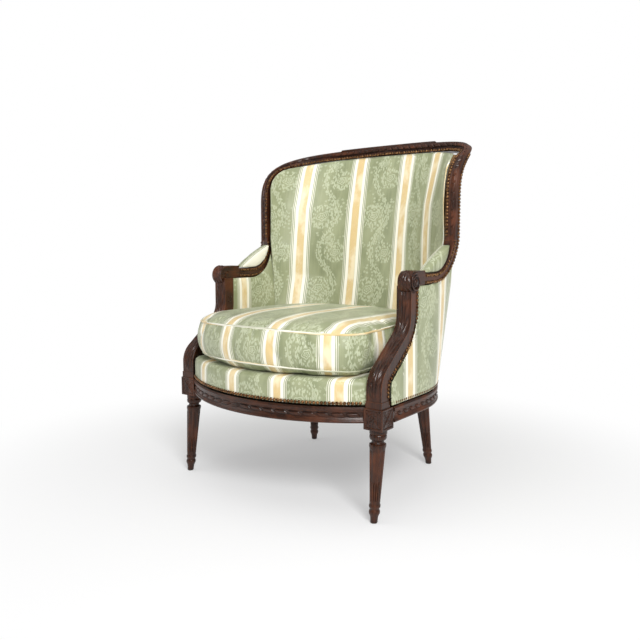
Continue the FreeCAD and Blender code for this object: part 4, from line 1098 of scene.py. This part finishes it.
def wall_sheet(name, nodes, angles, columns, rows, inside, crown, roll=0.022):
    """Skin over part of the wall, crowned between its edges. Angles are the two ends in plan."""
    tree = tree_of(*nodes)
    middle = sum(angles) / 2
    boxes = [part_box(part) for part in nodes]
    foot = min(box[0].z for box in boxes) + 0.0005
    top = max(box[1].z for box in boxes)
    tops = {}

    def place(across, along):
        angle = angles[0] + (angles[1] - angles[0]) * across
        if angle not in tops:
            tops[angle] = highest(tree, angle, foot, top, inside, middle) - 0.0002
        level = foot + (tops[angle] - foot) * along
        hit = pulled_hit(tree, angle, level, inside, middle)
        while hit is None and level > foot:
            level -= 0.001
            hit = pulled_hit(tree, angle, level, inside, middle)
        flat = Vector((hit.x, hit.y, 0)) - WALL_CENTRE
        toward = flat.normalized() * (-1 if inside else 1)
        to_side = min(across, 1 - across) * abs(angles[1] - angles[0]) * flat.length * math.radians(1)
        edge = min(to_side, tops[angle] - level, level - foot + roll)
        return hit + toward * (crown * (1 - math.exp(-max(edge, 0.0) / roll)))
    piece = grid(name, columns, rows, place)
    modified(piece, "SMOOTH", factor=0.5, iterations=2)
    return piece


def thickened(piece, thickness, offset):
    modified(piece, "SOLIDIFY", thickness=thickness, offset=offset, use_quality_normals=True)
    smooth(piece)
    return piece


def arc_map(name, inside):
    """Function from a place on the curved back to its length along the wall from the middle."""
    tree = tree_of(name)
    low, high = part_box(name)
    levels = np.linspace(low.z + 0.01, high.z - 0.03, 12)
    tables = []
    for level in levels:
        reach, length = [0.0], [0.0]
        last = pulled_hit(tree, 90, level, inside, 90)
        for angle in range(89, 20, -1):
            hit = wall_hit(tree, angle, level, inside)
            if hit is None or hit.x <= reach[-1]:
                break
            length.append(length[-1] + (hit - last).length)
            reach.append(hit.x)
            last = hit
        tables.append((reach, length))

    def arc(point):
        share = np.interp(point.z, levels, range(len(levels)))
        first = min(int(share), len(levels) - 2)
        lower, upper = [np.interp(abs(point.x), *tables[number]) + max(0.0, abs(point.x) - tables[number][0][-1])
                        for number in (first, first + 1)]
        return math.copysign(lower + (upper - lower) * (share - first), point.x)
    return arc


def stretched(piece):
    """Works out a thin cover's cut, as large as its cloth coordinates and its face, but keeps nothing of it."""
    sides = np.array([corner.uv for corner in piece.data.uv_layers["cloth"].data])
    width, length = (sides.max(0) - sides.min(0)) + 0.012
    area = sum(face.area for face in piece.data.polygons) / 2
    width = max(width, area / length * 1.02)


def inside_back():
    piece = wall_sheet("inside_back", ("inside_back_cover",), (29.0, 151.0), 133, 64, True, 0.007)
    thickened(piece, COVER_THICKNESS, 0)
    arc = arc_map("inside_back_cover", True)

    def cloth(point, normal):
        drawn = 0.060 * min(1.0, max(0.0, (point.x - 0.11) / 0.08))
        return ((arc(point) + drawn - BACK_REPEAT / 2 - 0.002) * STRIPE_REPEAT / BACK_REPEAT, point.z)
    set_cloth_map(piece, cloth)
    finished(piece, "striped_silk", SILK, "inside_back_cover", "inside_back_stuffing", "back_hessian")


def side_cloth(first, repeat):
    """Cloth on the arms: stripes stand upright, a repeat apart along the side, the first at a given Y."""
    def cloth(point, normal):
        turn = max(0.0, point.y + 0.02)
        along = point.y + 0.35 * turn ** 2
        return ((along - first) * STRIPE_REPEAT / repeat, point.z)
    return cloth


def inside_arms():
    piece = wall_sheet("inside_arm_right", ("inside_arm_cover_right",), (-27.5, 30.5), 66, 40, True, 0.005)
    thickened(piece, COVER_THICKNESS, 0)
    other = mirrored_copy(piece, "inside_arm_left")
    for (name, _), item in zip(SIDES, (piece, other)):
        set_cloth_map(item, side_cloth(-0.020, BACK_REPEAT))
        finished(item, "striped_silk", SILK, "inside_arm_cover_" + name, "inside_arm_stuffing_" + name)


def outside_arms():
    piece = wall_sheet("outside_arm_right", ("outside_arm_cover_right",), (-24.0, 50.0), 80, 60, False, 0.0015)
    thickened(piece, COVER_THICKNESS, 0)
    other = mirrored_copy(piece, "outside_arm_left")
    for (name, _), item in zip(SIDES, (piece, other)):
        set_cloth_map(item, side_cloth(-0.118, SIDE_REPEAT))
        stretched(item)
        finished(item, "striped_silk", SILK, "outside_arm_cover_" + name)


def outside_back():
    piece = wall_sheet("outside_back", ("outside_back_cover",), (50.5, 129.5), 90, 64, False, 0.0015)
    thickened(piece, COVER_THICKNESS, 0)
    arc = arc_map("outside_back_cover", False)

    def cloth(point, normal):
        return ((arc(point) - BACK_REPEAT / 2) * STRIPE_REPEAT / BACK_REPEAT, point.z)
    set_cloth_map(piece, cloth)
    stretched(piece)
    finished(piece, "striped_silk", SILK, "outside_back_cover")


def soft_copy(name, source, voxel, shrink=0.0):
    """Voxel copy of a soft solid, a little smaller than its node."""
    piece = copy_of(NODES[source], name)
    outward(piece, 1e-6)
    modified(piece, "REMESH", mode="VOXEL", voxel_size=voxel, adaptivity=0.0)
    modified(piece, "SMOOTH", factor=0.5, iterations=4)
    if shrink:
        modified(piece, "DISPLACE", strength=-shrink, mid_level=0.0)
    return piece


def puffed(piece, pressure, cap):
    """Lets the air pressure of a cloth simulation swell a closed form, no point further than the cap."""
    before = points_of(piece)
    choose(piece)
    cloth = piece.modifiers.new("swell", "CLOTH")
    cloth.settings.use_pressure = True
    cloth.settings.uniform_pressure_force = pressure
    cloth.settings.effector_weights.gravity = 0.0
    cloth.settings.quality = 4
    cloth.settings.tension_stiffness = 20
    cloth.settings.compression_stiffness = 12
    cloth.settings.bending_stiffness = 1.0
    cloth.point_cache.frame_start = 1
    cloth.point_cache.frame_end = 20
    scene = bpy.context.scene
    for number in range(1, 21):
        scene.frame_set(number)
    graph = bpy.context.evaluated_depsgraph_get()
    after = points_of(piece.evaluated_get(graph))
    piece.modifiers.remove(cloth)
    scene.frame_set(1)
    move = after - before
    size = np.linalg.norm(move, axis=1, keepdims=True)
    put_points(piece, before + move * np.minimum(1.0, cap / np.maximum(size, 1e-9)))
    return piece


def deck():
    """Seat platform: its front border shows under the cushion."""
    piece = soft_copy("seat_platform", "seat_stuffing", 0.0065)
    modified(piece, "DISPLACE", strength=0.0018, mid_level=0.0)
    points = points_of(piece)
    points[:, 2] = np.maximum(points[:, 2], DECK_LOW)
    put_points(piece, points)
    smooth(piece)

    def cloth(point, normal):
        return ((point.x * 1.045 - 0.028 - STRIPE_REPEAT / 2), point.z if normal.z < 0.6 else -point.y)
    set_cloth_map(piece, cloth)
    finished(piece, "striped_silk", SILK, "deck_cover", "seat_stuffing")


def pads():
    piece = soft_copy("arm_pad_right_cushion", "arm_pad_right", 0.004, 0.001)
    puffed(piece, 4.0, 0.0022)
    modified(piece, "SMOOTH", factor=0.5, iterations=3)
    smooth(piece)
    other = mirrored_copy(piece, "arm_pad_left_cushion")
    low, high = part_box("arm_pad_right")
    middle = (low.x + high.x) / 2

    def cloth(point, normal):
        return (abs(point.x) - middle + 0.030, point.y * 1.3)
    for (name, _), item in zip(SIDES, (piece, other)):
        set_cloth_map(item, cloth)
        finished(item, "striped_silk", SILK, "arm_pad_" + name)


def cushion_seam(tree, level, count, lift=0.0):
    """Closed line round the cushion at a level that may change along it."""
    centre = Vector((0, -0.07, 0))
    line = []
    for step in range(count):
        angle = 2 * math.pi * step / count
        direction = Vector((math.cos(angle), math.sin(angle), 0))
        height = level(direction)
        hit = tree.ray_cast(centre + UP * height + direction * 1.2, -direction)[0]
        if hit:
            line.append(hit + direction * lift)
    return line


def tube(name, line, radius, closed=True, sides=8):
    """Round welt along a line of places."""
    count = len(line)

    def place(around, along):
        number = along * (count if closed else count - 1)
        low = int(math.floor(number)) % count if closed else min(int(number), count - 2)
        share = number - math.floor(number) if closed else number - low
        high = (low + 1) % count
        point = line[low].lerp(line[high], share)
        ahead = (line[high] - line[low]).normalized()
        side = ahead.cross(UP)
        side = side.normalized() if side.length > 1e-4 else OUT
        top = side.cross(ahead)
        angle = around * 2 * math.pi
        return point + side * (radius * math.cos(angle)) + top * (radius * math.sin(angle))
    piece = rolled(name, sides + 1, count + 1, place)
    smooth(piece)
    return piece


def gathers(piece, seam_top, seam_low):
    """Puckers that run down from the top seam and up from the lower one, deeper on the front."""
    chance = random.Random(7)
    folds = []
    for _ in range(150):
        folds.append((chance.uniform(-math.pi, math.pi), chance.uniform(0.005, 0.009),
                      chance.uniform(0.0016, 0.0042), chance.uniform(0.012, 0.028), chance.random() < 0.75,
                      chance.uniform(-0.5, 0.5)))
    for _ in range(34):
        folds.append((chance.uniform(-math.pi, math.pi), chance.uniform(0.011, 0.020),
                      chance.uniform(0.0050, 0.0110), chance.uniform(0.030, 0.070), chance.random() < 0.5,
                      chance.uniform(-2.0, 2.0)))
    points = points_of(piece)
    normals = np.empty(len(points) * 3)
    piece.data.vertices.foreach_get("normal", normals)
    normals = normals.reshape(-1, 3)
    side = 1 - np.clip(np.abs(normals[:, 2]) / 0.75, 0, 1)
    angle = np.arctan2(points[:, 1] + 0.07, points[:, 0])
    height = points[:, 2]
    move = np.zeros(len(points))
    for middle, width, depth, reach, from_top, slant in folds:
        away = height - seam_top if from_top else seam_low - height
        away = np.abs(np.minimum(away, 0.0))
        arc = (angle - middle + slant * (height - seam_low) + math.pi) % (2 * math.pi) - math.pi
        arc = arc * 0.30
        fall = np.exp(-(away / reach) ** 2)
        move -= depth * np.exp(-(arc / width * 1.6) ** 2) * fall
    put_points(piece, points + normals * (move * side)[:, None])


def cushion():
    """Loose feather cushion with a welted top seam and a piped lower seam."""
    piece = soft_copy("seat_cushion", "cushion_filling", 0.0065)
    puffed(piece, 5.0, 0.016)
    low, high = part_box("cushion_cover")
    points = points_of(piece)
    shoulder = high.z - 0.030
    raised = shoulder + (points[:, 2] - shoulder) * 0.62
    points[:, 2] = np.clip(np.where(points[:, 2] > shoulder, raised, points[:, 2]), low.z + 0.0006, high.z)
    points[:, 0] = np.clip(points[:, 0], low.x - 0.001, high.x + 0.001)
    put_points(piece, points)
    modified(piece, "SUBSURF", levels=1, render_levels=1)
    seam_top, seam_low = 0.455, 0.366
    gathers(piece, seam_top, seam_low)
    smooth(piece)

    def cloth(point, normal):
        if normal.z > 0.55 and point.z > 0.43:
            return (point.x - 0.075, point.y)
        angle = math.atan2(point.x, -(point.y - 0.10))
        arc = angle * 0.445
        return (arc - 0.075, point.z)
    set_cloth_map(piece, cloth)
    finished(piece, "striped_silk", SILK, "cushion_cover", "cushion_filling", body="cushion")
    tree = tree_of("seat_cushion")
    welts = []
    for name, level in (("cushion_top_welt", seam_top), ("cushion_lower_welt", seam_low)):
        def height(direction, level=level):
            return level + 0.004 * math.sin(3 * math.atan2(direction.y, direction.x))
        welt = tube(name, cushion_seam(tree, height, 260, -0.0008), WELT_RADIUS)
        set_cloth_map(welt, lambda point, normal: (point.z * 2.0, point.x + point.y))
        finished(welt, "striped_silk", SILK, body="cushion")
        welts.append(welt)


def keep_nodes():
    """Nodes whose own shape is shown, each with its material."""
    finishes = {
        WOOD_ACROSS: ("front_rail", "back_rail", "crest_rail"),
        WOOD_LENGTHWISE: ("side_rail_right", "side_rail_left", "arm_right", "arm_left"),
        WOOD_UPRIGHT: ("arm_support_right", "arm_support_left", "back_stile_right", "back_stile_left"),
        RAW_WOOD: ("rail_pegs", "glue_blocks", "back_post_right", "back_post_left", "arm_post_right",
                   "arm_post_left", "back_tack_rail"),
        STEEL: ("foot_glides",),
        JUTE: ("webbing_front_to_back", "webbing_side_to_side"),
        HESSIAN: ("seat_hessian",),
        BLACK_CLOTH: ("dust_cover",),
    }
    for material, names in finishes.items():
        for name in names:
            mesh = NODES[name].data
            mesh.materials.clear()
            mesh.materials.append(material)


# Stage
def stage():
    deselect()
    bpy.ops.mesh.primitive_plane_add(size=60)
    floor = added("floor")
    material, tree, shader = new_material("pale_floor", Roughness=0.9, Specular_IOR_Level=0.1)
    shader["Base Color"].default_value = (0.90, 0.90, 0.90, 1)
    plain = node(tree, "ShaderNodeEmission")
    plain.inputs["Color"].default_value = (1, 1, 1, 1)
    reach = node(tree, "ShaderNodeVectorMath", operation="LENGTH")
    tree.links.new(node(tree, "ShaderNodeTexCoord").outputs["Object"], reach.inputs[0])
    fade = node(tree, "ShaderNodeMixShader")
    feed(tree, fade.inputs[0], ramp(tree, reach.outputs["Value"], 0.45, 1.3, 0.35, 1.0))
    tree.links.new(tree.nodes["Principled BSDF"].outputs[0], fade.inputs[1])
    tree.links.new(plain.outputs[0], fade.inputs[2])
    tree.links.new(fade.outputs[0], tree.nodes["Material Output"].inputs["Surface"])
    floor.data.materials.append(material)
    world = bpy.data.worlds.new("studio")
    bpy.context.scene.world = world
    world.use_nodes = True
    tree = world.node_tree
    seen = node(tree, "ShaderNodeLightPath").outputs
    direct = calc(tree, "MAXIMUM", seen["Is Camera Ray"], seen["Is Transmission Ray"])
    back = tree.nodes["Background"]
    back.inputs["Color"].default_value = (1, 1, 1, 1)
    feed(tree, back.inputs["Strength"], ramp(tree, direct, 0.0, 1.0, 0.34, 1.0))
    for name, place, size, power in (("key", (2.1, -1.8, 2.2), 1.1, 84), ("fill", (-2.4, -1.9, 1.5), 1.8, 13),
                                     ("top", (0.1, -0.4, 3.0), 2.0, 18)):
        deselect()
        bpy.ops.object.light_add(type="AREA", location=place)
        lamp = bpy.context.object
        lamp.name = name
        lamp.data.size = size
        lamp.data.energy = power
        aim = Vector((0, 0, 0.5)) - Vector(place)
        lamp.rotation_euler = aim.to_track_quat("-Z", "Y").to_euler()


def camera():
    deselect()
    bpy.ops.object.camera_add(location=CAMERA_PLACE,
                              rotation=[math.radians(angle) for angle in CAMERA_TURN])
    made = bpy.context.object
    made.data.sensor_width = SENSOR
    made.data.lens = FOCAL_PIXELS * SENSOR / FRAME_PIXELS
    bpy.context.scene.camera = made
    bpy.context.scene.view_settings.view_transform = "Standard"


stage()
camera()
keep_nodes()
legs()
nails()
rail_carving()
frame_carving()
support_carving()
scroll_carving()
inside_back()
inside_arms()
outside_arms()
outside_back()
deck()
pads()
cushion()
